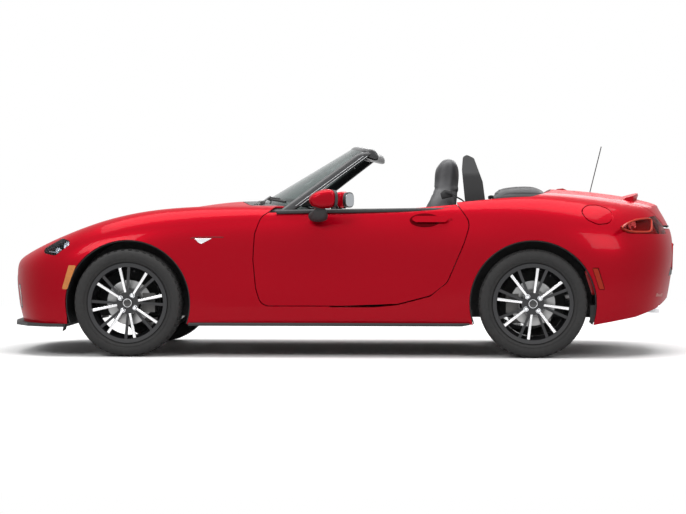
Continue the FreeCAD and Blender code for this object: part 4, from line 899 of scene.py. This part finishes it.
screenFace = boxPiece("screenFace", (-.187, -.097, .862), (-.1845, .097, .948), .001)
screenLook = Finish("screenGlassDark", Base_Color=rgb(.006, .007, .009), Roughness=.08, Coat_Weight=.5)
screenLook.drive(Roughness=screenLook.ranged(screenLook.noise(40.0), .06, .12))
finish(screenFace, "car", screenLook, "black_plastic")
knobs = []
for y in (-.055, 0, .055):
    knobs.append(turnedPiece("heaterKnob", [(0, 0), (0, .019), (.010, .019), (.022, .016), (.024, .014), (.024, 0)],
                             (-.176, y, .700), (1, 0, 0), 36))
    knobs.append(ringPiece("heaterRing", (-.172, y, .700), (1, 0, 0), .021, .0016, 36, 8))
finish(joined("heaterKnobs", knobs), "car", blackPlastic, "black_plastic")
gloveBox = platePiece("gloveBoxLid", [(-.158, .180, .690), (-.156, .180, .745), (-.156, .545, .745),
                                      (-.158, .545, .690), (-.185, .530, .640), (-.185, .195, .640)], (.004, 0, 0),
                      .0015)
finish(gloveBox, "car", blackPlastic, "black_plastic")
stripe = boxPiece("dashStripe", (-.1565, .160, .825), (-.152, .660, .835), .002)
finish(stripe, "car", darkAlloy, "black_paint")
stalks = []
for side in (-1, 1):
    stalks.append(rodPiece("stalk", (-.058, dash["driver"] + side * .03, .800),
                           (-.050, dash["driver"] + side * .15, .830), .007, 16, .002, .005))
finish(joined("columnStalks", stalks), "car", blackPlastic, "black_plastic")
pedals = []
for y, low, top in ((-.455, .33, .42), (-.385, .33, .42), (-.300, .26, .40)):
    pedal = boxPiece("pedal", (-.235, y - .022, low), (-.222, y + .022, low + .07), .004)
    arm = boxPiece("pedalArm", (-.262, y - .006, low + .05), (-.250, y + .006, .60), .002)
    pedals += [pedal, arm]
finish(joined("pedals", pedals), "car", casting, "cast_metal")

print("console")
bootRings = []
for out, up in ((.048, .558), (.040, .575), (.030, .590), (.022, .604), (.015, .618)):
    bootRings.append([(.098 + out * math.cos(a) * 1.1, out * math.sin(a), up)
                      for a in [math.tau * k / 12 for k in range(12)]])
shiftBoot = loftPiece("shiftBoot", bootRings)
finish(shiftBoot, "car", leather, "steering_leather", 60)
finish(ringPiece("shiftRing", (.098, 0, .556), (0, 0, 1), .052, .005), "car", aluminium, "bare_aluminium")
for y in (-.035, .035):
    finish(ringPiece("cupRing%s" % ("Left" if y < 0 else "Right"), (.47, y, .548), (0, 0, 1), .030, .004), "car",
           blackPlastic, "black_plastic")
armrest = boxPiece("armrestPad", (.50, -.075, .545), (.68, .075, .585), .014)
finish(armrest, "car", seatLook, "seat_fabric", 50)
mats = []
for side in (-1, 1):
    mats.append(boxPiece("mat", (-.20, side * .36 - .19, .2035), (.06, side * .36 + .19, .210), .003))
finish(joined("floorMats", mats), "car", carpet, "floor_carpet")
print("windscreen and mirrors")


def ellipseRing(centre, across, up, count=12, power=1.0):  # a round or squarish ring in the plane of two vectors
    ring = []
    for k in range(count):
        a = math.tau * k / count
        c, s = math.cos(a), math.sin(a)
        c = math.copysign(abs(c) ** power, c)
        s = math.copysign(abs(s) ** power, s)
        ring.append(tuple(Vector(centre) + Vector(across) * c + Vector(up) * s))
    return ring


screen = {"footX": -.3025, "footY": .700, "footZ": .851, "headX": .1345, "headY": .552, "headZ": 1.179,
          "pillarHalf": .046, "pillarWide": .021}
frameParts = []
for side in (-1, 1):
    rings = []
    for z in (.806, .860, .940, 1.020, 1.100, 1.150, 1.176):
        share = (z - screen["footZ"]) / (screen["headZ"] - screen["footZ"])
        x = screen["footX"] + share * (screen["headX"] - screen["footX"]) + .022
        y = side * (screen["footY"] + share * (screen["headY"] - screen["footY"]))
        rings.append(ellipseRing((x, y, z), (screen["pillarHalf"], 0, 0), (0, screen["pillarWide"], 0), 12, .7))
    frameParts.append(loftPiece("pillar", rings))
headerProfile = [(-.012, -.004), (.004, .012), (.036, .018), (.066, .008), (.084, -.020), (.086, -.052),
                 (.066, -.058), (.026, -.044), (-.004, -.030)]
rings = []
for y in (-.572, -.55, -.47, -.33, -.17, 0, .17, .33, .47, .55, .572):
    share = (abs(y) / screen["headY"]) ** 2
    grow = .84 if abs(y) > .56 else 1.0
    x = .036 + share * (screen["headX"] - .036)
    z = 1.203 - share * .024
    rings.append([(x + .037 + (a - .037) * grow, y, z - .02 + (b + .02) * grow) for a, b in headerProfile])
frameParts.append(loftPiece("header", rings))
screenFrame = joined("screenFrame", frameParts)
applyModifier(screenFrame, "SUBSURF", levels=2, render_levels=2)
frameLook = Finish("frameBlack", Base_Color=rgb(.018, .018, .020), Roughness=.42, Coat_Weight=.12, Coat_Roughness=.12)
frameLook.drive(Roughness=frameLook.ranged(frameLook.noise(70.0), .28, .42))
frameLook.bump(frameLook.noise(260.0, 2.0), .03, .0004)
finish(screenFrame, "car", frameLook, "black_paint", 60)
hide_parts("windscreen_frame")
# Two thin aluminium tubes along each pillar's edges stand for the light edge lines of the black pillars: painted
# highlight.
pillarHighlightTubes = []
for side in (-1, 1):
    for shift, out in ((.014, .0215), (.036, .0190)):
        line = []
        for z in (.862, .94, 1.02, 1.10, 1.150):
            share = (z - screen["footZ"]) / (screen["headZ"] - screen["footZ"])
            x = screen["footX"] + share * (screen["headX"] - screen["footX"]) + .022 + shift
            y = side * (screen["footY"] + share * (screen["headY"] - screen["footY"]) + out)
            line.append((x, y, z))
        pillarHighlightTubes.append(tubePiece("trim", line, .0016, 8))
finish(joined("pillarHighlightLines", pillarHighlightTubes), "car", aluminium, "bare_aluminium", 60)


def screenBase(y, up):  # a place on the glass, so far up from its foot
    return topPoint("windscreen", -.478 + .175 * (y / .65) ** 2 + up, y)


frit = [screenBase(y, .012) + Vector((-.003, 0, .001)) for y in (-.60, -.45, -.3, -.15, 0, .15, .3, .45, .60)]
finish(tubePiece("screenFoot", frit, .007, 8), "car", rubber, "tyre_rubber", 60)
wipers = []
for pivotY, first, last in ((-.50, -.47, .02), (.06, .09, .56)):
    pivot = topPoint("cowl", -.46, pivotY) + Vector((0, 0, .004))
    wipers.append(turnedPiece("wiperPivot", [(0, 0), (0, .016), (.014, .014), (.020, .009), (.021, 0)], pivot,
                              (-.2, 0, 1), 24))
    middle = screenBase((first + last) / 2, .022) + Vector((-.006, 0, .010))
    wipers.append(tubePiece("wiperArm", [pivot + Vector((0, 0, .012)), (pivot * 2 + middle) / 3 + Vector((0, 0, .010)),
                                         middle], .0055, 10))
    blade = [screenBase(first + (last - first) * k / 6, .022) + Vector((-.002, 0, .005)) for k in range(7)]
    wipers.append(tubePiece("wiperBlade", blade, .0048, 8))
finish(joined("wipers", wipers), "car", blackPlastic, "black_plastic", 60)
cowlCap = [(-.505, -.52), (-.515, -.30), (-.520, 0), (-.515, .30), (-.505, .52)]
ribs = [tubePiece("cowlRib", [topPoint("cowl", x + step * .014, y) + Vector((0, 0, .002)) for x, y in cowlCap], .004, 8)
        for step in range(4)]
finish(joined("cowlGrille", ribs), "car", blackPlastic, "black_plastic", 60)
innerMirror = loftPiece("innerMirror", [ellipseRing((.050 + dx, 0, 1.118), (0, half, 0), (0, 0, tall), 20, .62)
                                        for dx, half, tall in ((-.024, .050, .018), (-.018, .100, .026),
                                                               (-.004, .118, .031), (.004, .118, .031))])
finish(innerMirror, "car", blackPlastic, "black_plastic", 50)
innerGlass = loftPiece("innerMirrorGlass", [ellipseRing((.0545 + dx, 0, 1.118), (0, .112, 0), (0, 0, .026), 20, .62)
                                            for dx in (0, .0015)])
finish(innerGlass, "car", mirrorGlass, "bare_aluminium", 50)
finish(rodPiece("innerMirrorStem", (.032, 0, 1.126), (.046, 0, 1.170), .007, 16), "car", blackPlastic, "black_plastic")
visors = []
for side in (-1, 1):
    visors.append(platePiece("visor", [(.070, side * .09, 1.158), (.095, side * .42, 1.144), (.140, side * .42, 1.134),
                                       (.125, side * .09, 1.142)], (.004, 0, .010), .004))
finish(joined("sunVisors", visors), "car", vinyl, "hoop_vinyl")

mirror = {"middleX": -.092, "middleY": -.895, "middleZ": .903, "toeIn": .42}
housingOutline = [(-.165, .896), (-.152, .920), (-.115, .944), (-.066, .956), (-.036, .950), (-.027, .925),
                  (-.028, .878), (-.040, .853), (-.090, .846), (-.145, .858)]
rings = []
for y, scale in ((-.812, .60), (-.818, .86), (-.840, 1.02), (-.895, 1.10), (-.940, 1.0), (-.957, .76), (-.962, .44)):
    rings.append([(mirror["middleX"] + (x - mirror["middleX"]) * scale + (mirror["toeIn"] * (mirror["middleY"] - y)
                                                                         if x > -.08 else 0), y,
                   mirror["middleZ"] + (z - mirror["middleZ"]) * scale) for x, z in housingOutline])
housing = loftPiece("mirrorHousing_left", rings)
applyModifier(housing, "SUBSURF", levels=2, render_levels=2)
base = loftPiece("mirrorBase_left", [ellipseRing((x, y, z), (wide, 0, 0), (0, 0, tall), 14, .85) for x, y, z, wide, tall in (
    (-.118, -.770, .800, .055, .028), (-.118, -.815, .802, .060, .034), (-.112, -.845, .806, .052, .034),
    (-.104, -.868, .820, .044, .026), (-.100, -.885, .836, .036, .016), (-.100, -.893, .846, .022, .008))])
applyModifier(base, "SUBSURF", levels=2, render_levels=2)
lowerCase = platePiece("mirrorLip_left", [(-.140, -.925, .848), (-.052, -.925, .846), (-.044, -.860, .846),
                                          (-.140, -.860, .850)], (0, 0, .012), .004)
toed = Vector((-mirror["toeIn"], 1, 0)).normalized()
glassPlate = loftPiece("mirrorGlass_left", [ellipseRing((x, -.888, .902), toed * .060, (0, 0, .043), 24, .75)
                                            for x in (-.030, -.0205)])
glassRim = loftPiece("mirrorRim_left", [ellipseRing((x, -.888, .902), toed * .067, (0, 0, .050), 24, .75)
                                        for x in (-.038, -.0225)])
for piece, look, slot in ((housing, paint, "red_paint"), (base, blackPlastic, "black_plastic"),
                          (lowerCase, blackPlastic, "black_plastic"), (glassPlate, mirrorGlass, "bare_aluminium"),
                          (glassRim, blackPlastic, "black_plastic")):
    finish(piece, "door_left", look, slot, 50)
    twin = twinOnRight(piece, piece.name.replace("left", "right"))
    finish(twin, "door_right", look, slot, 50)
    if piece is housing:
        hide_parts("mirror_left")
        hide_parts("mirror_right")

print("lamps")


def oneSide(node, name, move, grow=1.0):  # the left half of a CAD node's mesh, set inwards
    piece = nodes[node].copy()
    piece.data = nodes[node].data.copy()
    piece.name = name
    for key in list(piece.keys()):
        del piece[key]
    bpy.context.collection.objects.link(piece)
    piece.hide_render = False
    select(piece, "FACE", lambda place, normal: place.y > 0)
    bpy.ops.mesh.delete(type="FACE")
    bpy.ops.object.mode_set(mode="OBJECT")
    middle = sum((corner.co for corner in piece.data.vertices), Vector()) / len(piece.data.vertices)
    piece.data.transform(Matrix.Translation(middle + Vector(move)) @ Matrix.Diagonal((grow, grow, grow, 1))
                         @ Matrix.Translation(-middle))
    return piece


lampBed = oneSide("headlamps", "headlampBed_left", (.042, .080, -.014), 1.14)
lampParts = {"bright": [], "clear": [], "dark": []}
for x, z, radius in ((-1.580, .636, .023), (-1.634, .606, .017)):
    skin = skinPoint("headlamps", x, z)
    aim = Vector((-.62, -.75, .20)).normalized()
    centre = skin + Vector((.016, .026, -.003))
    lampParts["bright"].append(turnedPiece("lampTube", [(-.022, radius * .5), (-.018, radius), (.010, radius * 1.08),
                                                        (.012, radius * 1.02), (.004, radius * .9), (-.004, radius * .5)],
                                           centre, aim, 32))
    lampParts["clear"].append(turnedPiece("lampBall", [(-.004, 0), (-.002, radius * .82), (.004, radius * .78),
                                                       (.010, radius * .55), (.013, radius * .2), (.0135, 0)],
                                          centre, aim, 32))
wing = [skinPoint("headlamps", x, z) + Vector((.012, .022, -.004)) for x, z in
        ((-1.690, .600), (-1.668, .598), (-1.645, .598))]
lampParts["bright"].append(tubePiece("lampStrip", wing, .0042, 10))
for key, look, slot in (("bright", chrome, "bare_aluminium"), ("clear", chrome, "clear_lens")):
    piece = joined("headlamp%s_left" % key.capitalize(), lampParts[key])
    finish(piece, "car", look, slot, 50)
    finish(twinOnRight(piece, piece.name.replace("left", "right")), "car", look, slot, 50)
finish(lampBed, "car", blackPlastic, "black_plastic", 40)
finish(twinOnRight(lampBed, "headlampBed_right"), "car", blackPlastic, "black_plastic", 40)
tailGlass = glassFinish("tailLensRed", rgb(.10, .01, .01), rgb(.88, .50, .50))
nodes["tail_lamps"].data.materials.clear()
nodes["tail_lamps"].data.materials.append(tailGlass.material)
tailBed = oneSide("tail_lamps", "tailBed_left", (-.020, .045, -.004), 1.10)
tailParts = []
for x, radius in ((1.690, .030), (1.640, .020)):
    skin = skinPoint("tail_lamps", x, .752)
    centre = skin + Vector((-.020, .030, 0))
    tailParts.append(ringPiece("tailRing", centre, (.72, -.68, .05), radius, .0055, 36, 10))
    tailParts.append(turnedPiece("tailCup", [(-.010, 0), (-.008, radius * .75), (.004, radius * .92),
                                             (.002, radius * .8), (-.004, radius * .3), (-.005, 0)],
                                 centre, (.72, -.68, .05), 32))
rim = [(1.596, .738), (1.640, .763), (1.690, .782), (1.740, .788), (1.790, .790), (1.788, .750), (1.784, .714),
       (1.730, .712), (1.660, .714), (1.620, .726)]
rimTube = tubePiece("tailRim_left", [skinPoint("tail_lamps", x, z) + Vector((0, .001, 0)) for x, z in rim], .0065, 10,
                    True)
marker = [skinPoint("tail_lamps", x, z) for x, z in ((1.4375, .509), (1.4665, .509), (1.5035, .392), (1.4765, .392))]
markerPlate = loftPiece("rearMarker_left", [[p + Vector((0, .004, 0)) for p in marker],
                                            [p + Vector((0, -.0035, 0)) for p in marker]])
tailLight = joined("tailReflectors_left", tailParts)
markerRed = Finish("markerRed", Base_Color=rgb(.50, .03, .012), Roughness=.3, Specular_IOR_Level=.2)
markerRed.drive(Base_Color=markerRed.colours(markerRed.noise(90.0), rgb(.40, .02, .010), rgb(.62, .05, .018)))
bedRed = Finish("tailBedRed", Base_Color=rgb(.36, .004, .008), Roughness=.35)
bedRed.drive(Base_Color=bedRed.colours(bedRed.noise(160.0), rgb(.26, .003, .006), rgb(.46, .008, .012)))
for piece, look, slot in ((tailBed, bedRed, "red_lens"), (tailLight, chrome, "bare_aluminium"),
                          (rimTube, markerRed, "red_lens"), (markerPlate, markerRed, "red_lens")):
    finish(piece, "car", look, slot, 40)
    finish(twinOnRight(piece, piece.name.replace("left", "right")), "car", look, slot, 40)
outlineLamp = [(-.825, .676), (-.7255, .677), (-.745, .666), (-.785, .6455), (-.802, .652)]
# A thin dark tube along the front fender's crease, standing for the crease's shadow line: painted shade.
creaseShadeLine = [skinPoint("fender_left", x, z) + Vector((0, .0012, 0)) for x, z in
          ((-.848, .676), (-.825, .682), (-.77, .6835), (-.70, .684), (-.66, .683))]
creaseShadeTube = tubePiece("sideCrease_left", creaseShadeLine, .0024, 8)
finish(creaseShadeTube, "car", rubber, "black_plastic", 60)
finish(twinOnRight(creaseShadeTube, "sideCrease_right"), "car", rubber, "black_plastic", 60)
front = [skinPoint("fender_left", x, z) for x, z in outlineLamp]
lampPlate = platePiece("sideLamp_left", [p + Vector((0, .004, 0)) for p in front], (0, -.008, 0), .002)
finish(lampPlate, "car", chrome, "bare_aluminium", 40)
finish(twinOnRight(lampPlate, "sideLamp_right"), "car", chrome, "bare_aluminium", 40)
print("doors and seals")
cardOutline = [(-.395, .560), (-.385, .420), (-.355, .335), (.020, .322), (.330, .345), (.500, .410), (.590, .500),
               (.625, .640), (.640, .760), (.640, .842), (.430, .838), (.100, .834), (-.250, .832), (-.380, .820)]
card = platePiece("doorCard_left", [(x, -.7355, z) for x, z in cardOutline], (0, .010, 0), .003)
pocket = platePiece("doorPocket_left", [(-.300, -.728, .360), (.180, -.728, .360), (.200, -.728, .440), (.150, -.728, .470),
                                        (-.280, -.728, .470)], (0, .020, 0), .006)
armPad = loftPiece("doorArmrest_left", [ellipseRing((x, -.722, z), (0, wide, 0), (0, 0, tall), 14, .8)
                                        for x, z, wide, tall in ((-.02, .585, .006, .008), (.00, .588, .016, .018),
                                                                 (.16, .598, .020, .022), (.34, .606, .020, .022),
                                                                 (.40, .610, .014, .016), (.415, .611, .005, .006))])
applyModifier(armPad, "SUBSURF", levels=2, render_levels=2)
topRoll = tubePiece("doorTopRoll_left", [(-.36, -.741, .826), (-.10, -.743, .832), (.20, -.744, .834), (.60, -.742, .840)],
                    .013, 12)
speaker = turnedPiece("doorSpeaker_left", [(0, 0), (0, .074), (.006, .078), (.009, .074), (.006, .066), (.007, .03),
                                           (.010, 0)], (-.265, -.7265, .520), (0, 1, 0), 48)
pull = tubePiece("doorPull_left", [(.060, -.724, .640), (.070, -.704, .660), (.150, -.700, .676), (.230, -.704, .680),
                                   (.240, -.724, .668)], .008, 12)
inside = joined("doorLatch_left", [ringPiece("latchRing", (-.020, -.7245, .700), (0, 1, 0), .026, .0035),
                                   boxPiece("latchLever", (-.045, -.726, .694), (.000, -.716, .706), .003)])
beltLine = []
for x in (-.33, -.20, -.05, .10, .25, .40, .55, .68):
    top = topPoint("door_left", x, -.752)
    beltLine.append((x, -.744, top.z + .001))
beltSeal = tubePiece("beltSeal_left", beltLine, .0055, 10)
cup = {"x": .490, "z": .780, "halfLong": .088, "halfTall": .040, "points": 28}


def cupRing(share, out):  # a ring of the painted shade of the scoop behind the handle, following the door's skin
    ring = []
    for k in range(cup["points"]):
        a = math.tau * k / cup["points"]
        ring.append(skinPoint("door_left", cup["x"] + cup["halfLong"] * share * math.cos(a),
                              cup["z"] + cup["halfTall"] * share * math.sin(a)) + Vector((0, out, 0)))
    return ring


# The scoop is not cut into the door: this near-flat dish on the door's skin is coloured dark red as the scoop's painted
# shade.
scoopShadeDish = loftPiece("handleCup_left", [cupRing(1.0, .004), cupRing(.99, -.0008), cupRing(.70, -.0010),
                                      cupRing(.30, -.0010)])
# Dark red painted shade for the handle scoop, with a random tone.
scoopShadeLook = Finish("handlePaintedShade", Base_Color=rgb(.16, .001, .004), Roughness=.4, Specular_IOR_Level=.0, Coat_Weight=.05)
scoopShadeLook.drive(Base_Color=scoopShadeLook.colours(scoopShadeLook.noise(300.0), rgb(.10, .001, .003), rgb(.20, .001, .006)))
keyhole = turnedPiece("keyCap_left", [(0, 0), (0, .0085), (.0025, .008), (.003, .0055), (.0022, 0)],
                      skinPoint("door_left", .638, .786) + Vector((0, -.0005, 0)), (0, -1, 0), 24)
for piece, look, slot in ((card, blackPlastic, "black_plastic"), (pocket, blackPlastic, "black_plastic"),
                          (armPad, seatLook, "seat_fabric"), (topRoll, vinyl, "hoop_vinyl"),
                          (speaker, mesh, "black_plastic"), (pull, darkAlloy, "black_paint"),
                          (inside, aluminium, "bare_aluminium"), (beltSeal, rubber, "tyre_rubber"),
                          (scoopShadeDish, scoopShadeLook, "red_paint"), (keyhole, paint, "red_paint")):
    finish(piece, "door_left", look, slot, 45)
    twin = twinOnRight(piece, piece.name.replace("left", "right"))
    finish(twin, "door_right", look, slot, 45)
rearCut = [(.668, .862), (.700, .838), (.726, .800), (.738, .740), (.716, .650), (.660, .530), (.612, .432), (.560, .382),
           (.500, .352), (.340, .310), (.030, .302), (-.30, .302), (-.410, .308)]
jamb = []
for x, z in rearCut:
    jamb.append(skinPoint("door_left", min(x, .69), max(z, .31)) + Vector((0, .045, 0)))
jamb = [Vector((x, place.y, z)) for (x, z), place in zip(rearCut, jamb)]
jambStrip = tubePiece("doorSeal_left", jamb, .008, 10)
finish(jambStrip, "car", rubber, "tyre_rubber", 60)
finish(twinOnRight(jambStrip, "doorSeal_right"), "car", rubber, "tyre_rubber", 60)
pillarSeal = [(-.470, -.712, .36), (-.478, -.712, .50), (-.478, -.712, .64), (-.470, -.712, .76), (-.430, -.712, .83)]
pillarStrip = platePiece("pillarSeal_left", [(x - .03, y, z) for x, y, z in pillarSeal]
                         + [(x + .03, y, z) for x, y, z in reversed(pillarSeal)], (0, -.006, 0), .002)
finish(pillarStrip, "car", rubber, "tyre_rubber", 60)
finish(twinOnRight(pillarStrip, "pillarSeal_right"), "car", rubber, "tyre_rubber", 60)

print("nose and tail")


def noseOn(node, y, z, side=-1):  # the outside of a node seen along the car, from the nose or the tail
    found, place, normal, face = nodes[node].ray_cast(Vector((side * 4, y, z)), Vector((-side, 0, 0)))
    return place if found else Vector((noseX if side < 0 else tailX, y, z))


lipLine = [noseOn("front_bumper", y, .470) + Vector((-.001, 0, 0)) for y in (-.34, -.25, -.12, 0, .12, .25, .34)]
mouthEdge = [(-.30, .462), (0, .466), (.30, .462), (.395, .440), (.428, .400), (.452, .330), (.400, .268), (.30, .256),
             (0, .254), (-.30, .256), (-.400, .268), (-.452, .330), (-.428, .400), (-.395, .440)]
mouthLine = [noseOn("front_bumper", y * 1.02, .36 + (z - .36) * 1.06) + Vector((.004, 0, 0)) for y, z in mouthEdge]
finish(tubePiece("mouthRim", mouthLine, .006, 10, True), "car", blackPlastic, "black_plastic", 60)
lattice = []
for row in range(9):
    level = .268 + row * .023
    half = .40 - abs(level - .33) * .35
    lattice.append(tubePiece("meshBar", [(-1.878 + .0, -half, level), (-1.890, -half * .5, level), (-1.894, 0, level),
                                         (-1.890, half * .5, level), (-1.878, half, level)], .0022, 4))
for column in range(-17, 18):
    y = column * .023
    lattice.append(rodPiece("meshPost", (-1.892 + abs(y) ** 2 * .09, y, .262), (-1.892 + abs(y) ** 2 * .09, y, .452),
                            .0018, 6))
finish(joined("mouthMesh", lattice), "car", blackPlastic, "black_plastic", 60)
for side, word in ((-1, "left"), (1, "right")):
    slotRing = []
    for y, z in ((.520, .410), (.556, .404), (.580, .330), (.560, .268), (.520, .262), (.540, .330)):
        slotRing.append(noseOn("front_bumper", side * y, z))
    pocketPiece = loftPiece("lampPocket_" + word, [[p + Vector((.006, 0, 0)) for p in slotRing],
                                                   [p + Vector((-.001, 0, 0)) for p in slotRing]])
    finish(pocketPiece, "car", blackPlastic, "black_plastic", 30)
    strip = [noseOn("front_bumper", side * y, z) + Vector((.001, 0, 0)) for y, z in
             ((.536, .398), (.552, .360), (.558, .320), (.542, .278))]
    finish(tubePiece("dayLamp_" + word, strip, .0045, 12), "car", markLook, "clear_lens", 60)
    reflector = [noseOn("rear_bumper", side * y, z, 1) for y, z in ((.500, .338), (.550, .340), (.600, .342),
                                                                            (.598, .360), (.550, .359), (.500, .358))]
    finish(loftPiece("rearReflector_" + word, [[p + Vector((-.006, 0, 0)) for p in reflector],
                                              [p + Vector((.0015, 0, 0)) for p in reflector]]), "car", markerRed,
           "red_lens", 30)
plateEdge = [(-.27, .640), (.27, .640), (.285, .620), (.262, .500), (.245, .488), (-.245, .488), (-.262, .500), (-.285, .620)]
recessRim = [noseOn("rear_bumper", y, z, 1) + Vector((.001, 0, 0)) for y, z in plateEdge]
finish(tubePiece("plateRecessRim", recessRim, .005, 8, True, False), "car", paint, "red_paint", 60)
recessFace = loftPiece("plateRecess", [[noseOn("rear_bumper", y * .97, .564 + (z - .564) * .92, 1)
                                        + Vector((shift, 0, 0)) for y, z in plateEdge] for shift in (-.004, .0008)])
finish(recessFace, "car", blackPaint, "black_paint", 30)
for y in (-.11, .11):
    lamp = boxPiece("plateLamp%s" % ("Left" if y < 0 else "Right"), tuple(noseOn("rear_bumper", y, .632, 1)
                    + Vector((-.006, -.022, -.006))), tuple(noseOn("rear_bumper", y, .632, 1)
                                                           + Vector((.007, .022, .006))), .003)
    finish(lamp, "car", blackPlastic, "black_plastic")
lowEdge = [(-.42 + .12 * k, .456) for k in range(8)] + [(.36 - .12 * k, .505) for k in range(7)]
valance = [loftPiece("valance", [[noseOn("rear_bumper", y, z, 1) + Vector((shift, 0, 0)) for y, z in lowEdge]
                                 for shift in (-.006, .002)])]
for y in (-.28, -.14, 0, .14, .28):
    low, top = noseOn("rear_bumper", y, .458, 1), noseOn("rear_bumper", y, .503, 1)
    valance.append(platePiece("valanceFin", [low + Vector((-.006, -.003, 0)), low + Vector((.004, -.003, 0)),
                                             top + Vector((.003, -.003, 0)), top + Vector((-.006, -.003, 0))],
                              (0, .006, 0)))
finish(joined("rearValance", valance), "car", blackPlastic, "black_plastic", 50)
tip = turnedPiece("exhaustTip", [(-.07, .031), (-.066, .0335), (.016, .036), (.019, .034), (.017, .0315), (-.04, .030)],
                  (1.898, .347, .2366), (1, 0, -.05), 40)
finish(tip, "car", chrome, "exhaust_steel", 60)

lidSeal = [(min(noseOn("rear_bumper", .1 * k, .715, 1).x - .014, 1.932), .1 * k, .741) for k in range(-3, 4)]
finish(tubePiece("bootLipSeal", lidSeal, .007, 8), "car", rubber, "tyre_rubber", 60)

print("sides")
for side, word in ((-1, "left"), (1, "right")):
    strip = platePiece("sillStrip_" + word, [(-.860, side * .815, .178), (.700, side * .815, .178),
                                            (.745, side * .815, .186), (.745, side * .815, .196),
                                            (-.860, side * .815, .196)], (0, side * .024, 0), .004)
    finish(strip, "car", blackPlastic, "black_plastic")
    flap = platePiece("wheelDeflector_" + word, [(-1.600, side * .66, .145), (-1.585, side * .82, .145),
                                                (-1.575, side * .82, .188), (-1.590, side * .66, .188)],
                      (.008, 0, 0), .003)
    finish(flap, "car", rubber, "tyre_rubber")
for side, word in ((-1, "left"), (1, "right")):
    ends = [boxPiece("archEnd", (.728, min(side * .812, side * .790), .192), (.760, max(side * .812, side * .790), .270)),
            boxPiece("archEnd", (1.425, min(side * .815, side * .790), .204), (1.462, max(side * .815, side * .790), .300))]
    finish(joined("archEnds_" + word, ends), "car", rubber, "tyre_rubber")
collar = turnedPiece("antennaFoot", [(0, 0), (-.002, .016), (.006, .015), (.016, .010), (.022, .006), (.024, 0)],
                     topPoint("rear_body", 1.490, .599) + Vector((0, 0, -.002)), (.12, 0, 1), 28)
finish(collar, "car", rubber, "tyre_rubber", 60)

print("engine bay and boot")
cover = boxPiece("engineCover", (-1.225, -.165, .697), (-.835, .165, .716), .010)
ridges = [cover]
for y in (-.11, -.055, 0, .055, .11):
    ridges.append(boxPiece("coverRidge", (-1.19, y - .008, .712), (-.87, y + .008, .722), .004))
finish(joined("engineCover", ridges), "car", blackPlastic, "black_plastic")
caps = [turnedPiece("fillerCap", [(0, 0), (0, .024), (.016, .024), (.020, .018), (.021, 0)], (-.90, .125, .714),
                    (0, 0, 1), 24),
        turnedPiece("reservoirCap", [(0, 0), (0, .020), (.014, .020), (.016, 0)], (-.72, -.30, .712), (0, 0, 1), 24)]
finish(joined("bayCaps", caps), "car", blackPlastic, "black_plastic", 50)
battery = joined("battery", [boxPiece("batteryCase", (-.790, .24, .520), (-.640, .43, .700), .006),
                             rodPiece("batteryPost", (-.76, .27, .70), (-.76, .27, .716), .008, 16),
                             rodPiece("batteryPost", (-.76, .40, .70), (-.76, .40, .716), .008, 16)])
finish(battery, "car", blackPlastic, "black_plastic")
tank = boxPiece("washerTank", (-.790, -.37, .560), (-.660, -.24, .712), .014)
tankLook = Finish("tankPlastic", Base_Color=rgb(.55, .55, .50), Roughness=.5)
tankLook.drive(Base_Color=tankLook.colours(tankLook.noise(14.0), rgb(.48, .48, .43), rgb(.62, .62, .58)))
finish(tank, "car", tankLook, "black_plastic")
hoses = [tubePiece("bayHose", [(-1.24, .10, .60), (-1.34, .12, .63), (-1.50, .16, .56), (-1.70, .22, .50), (-1.82, .24, .46)],
                   .020, 14),
         tubePiece("bayHose", [(-1.24, -.12, .50), (-1.40, -.18, .44), (-1.62, -.24, .36), (-1.82, -.26, .30)], .020, 14)]
finish(joined("bayHoses", hoses), "car", rubber, "tyre_rubber", 60)
strut = tubePiece("strutBar", [(-1.16, -.44, .655), (-1.13, -.30, .733), (-1.12, 0, .738), (-1.13, .30, .733),
                               (-1.16, .44, .655)], .012, 14)
finish(strut, "car", aluminium, "bare_aluminium", 60)
bootMat = boxPiece("bootMat", (.790, -.50, .3235), (1.800, .50, .330), .003)
finish(bootMat, "car", carpet, "floor_carpet")
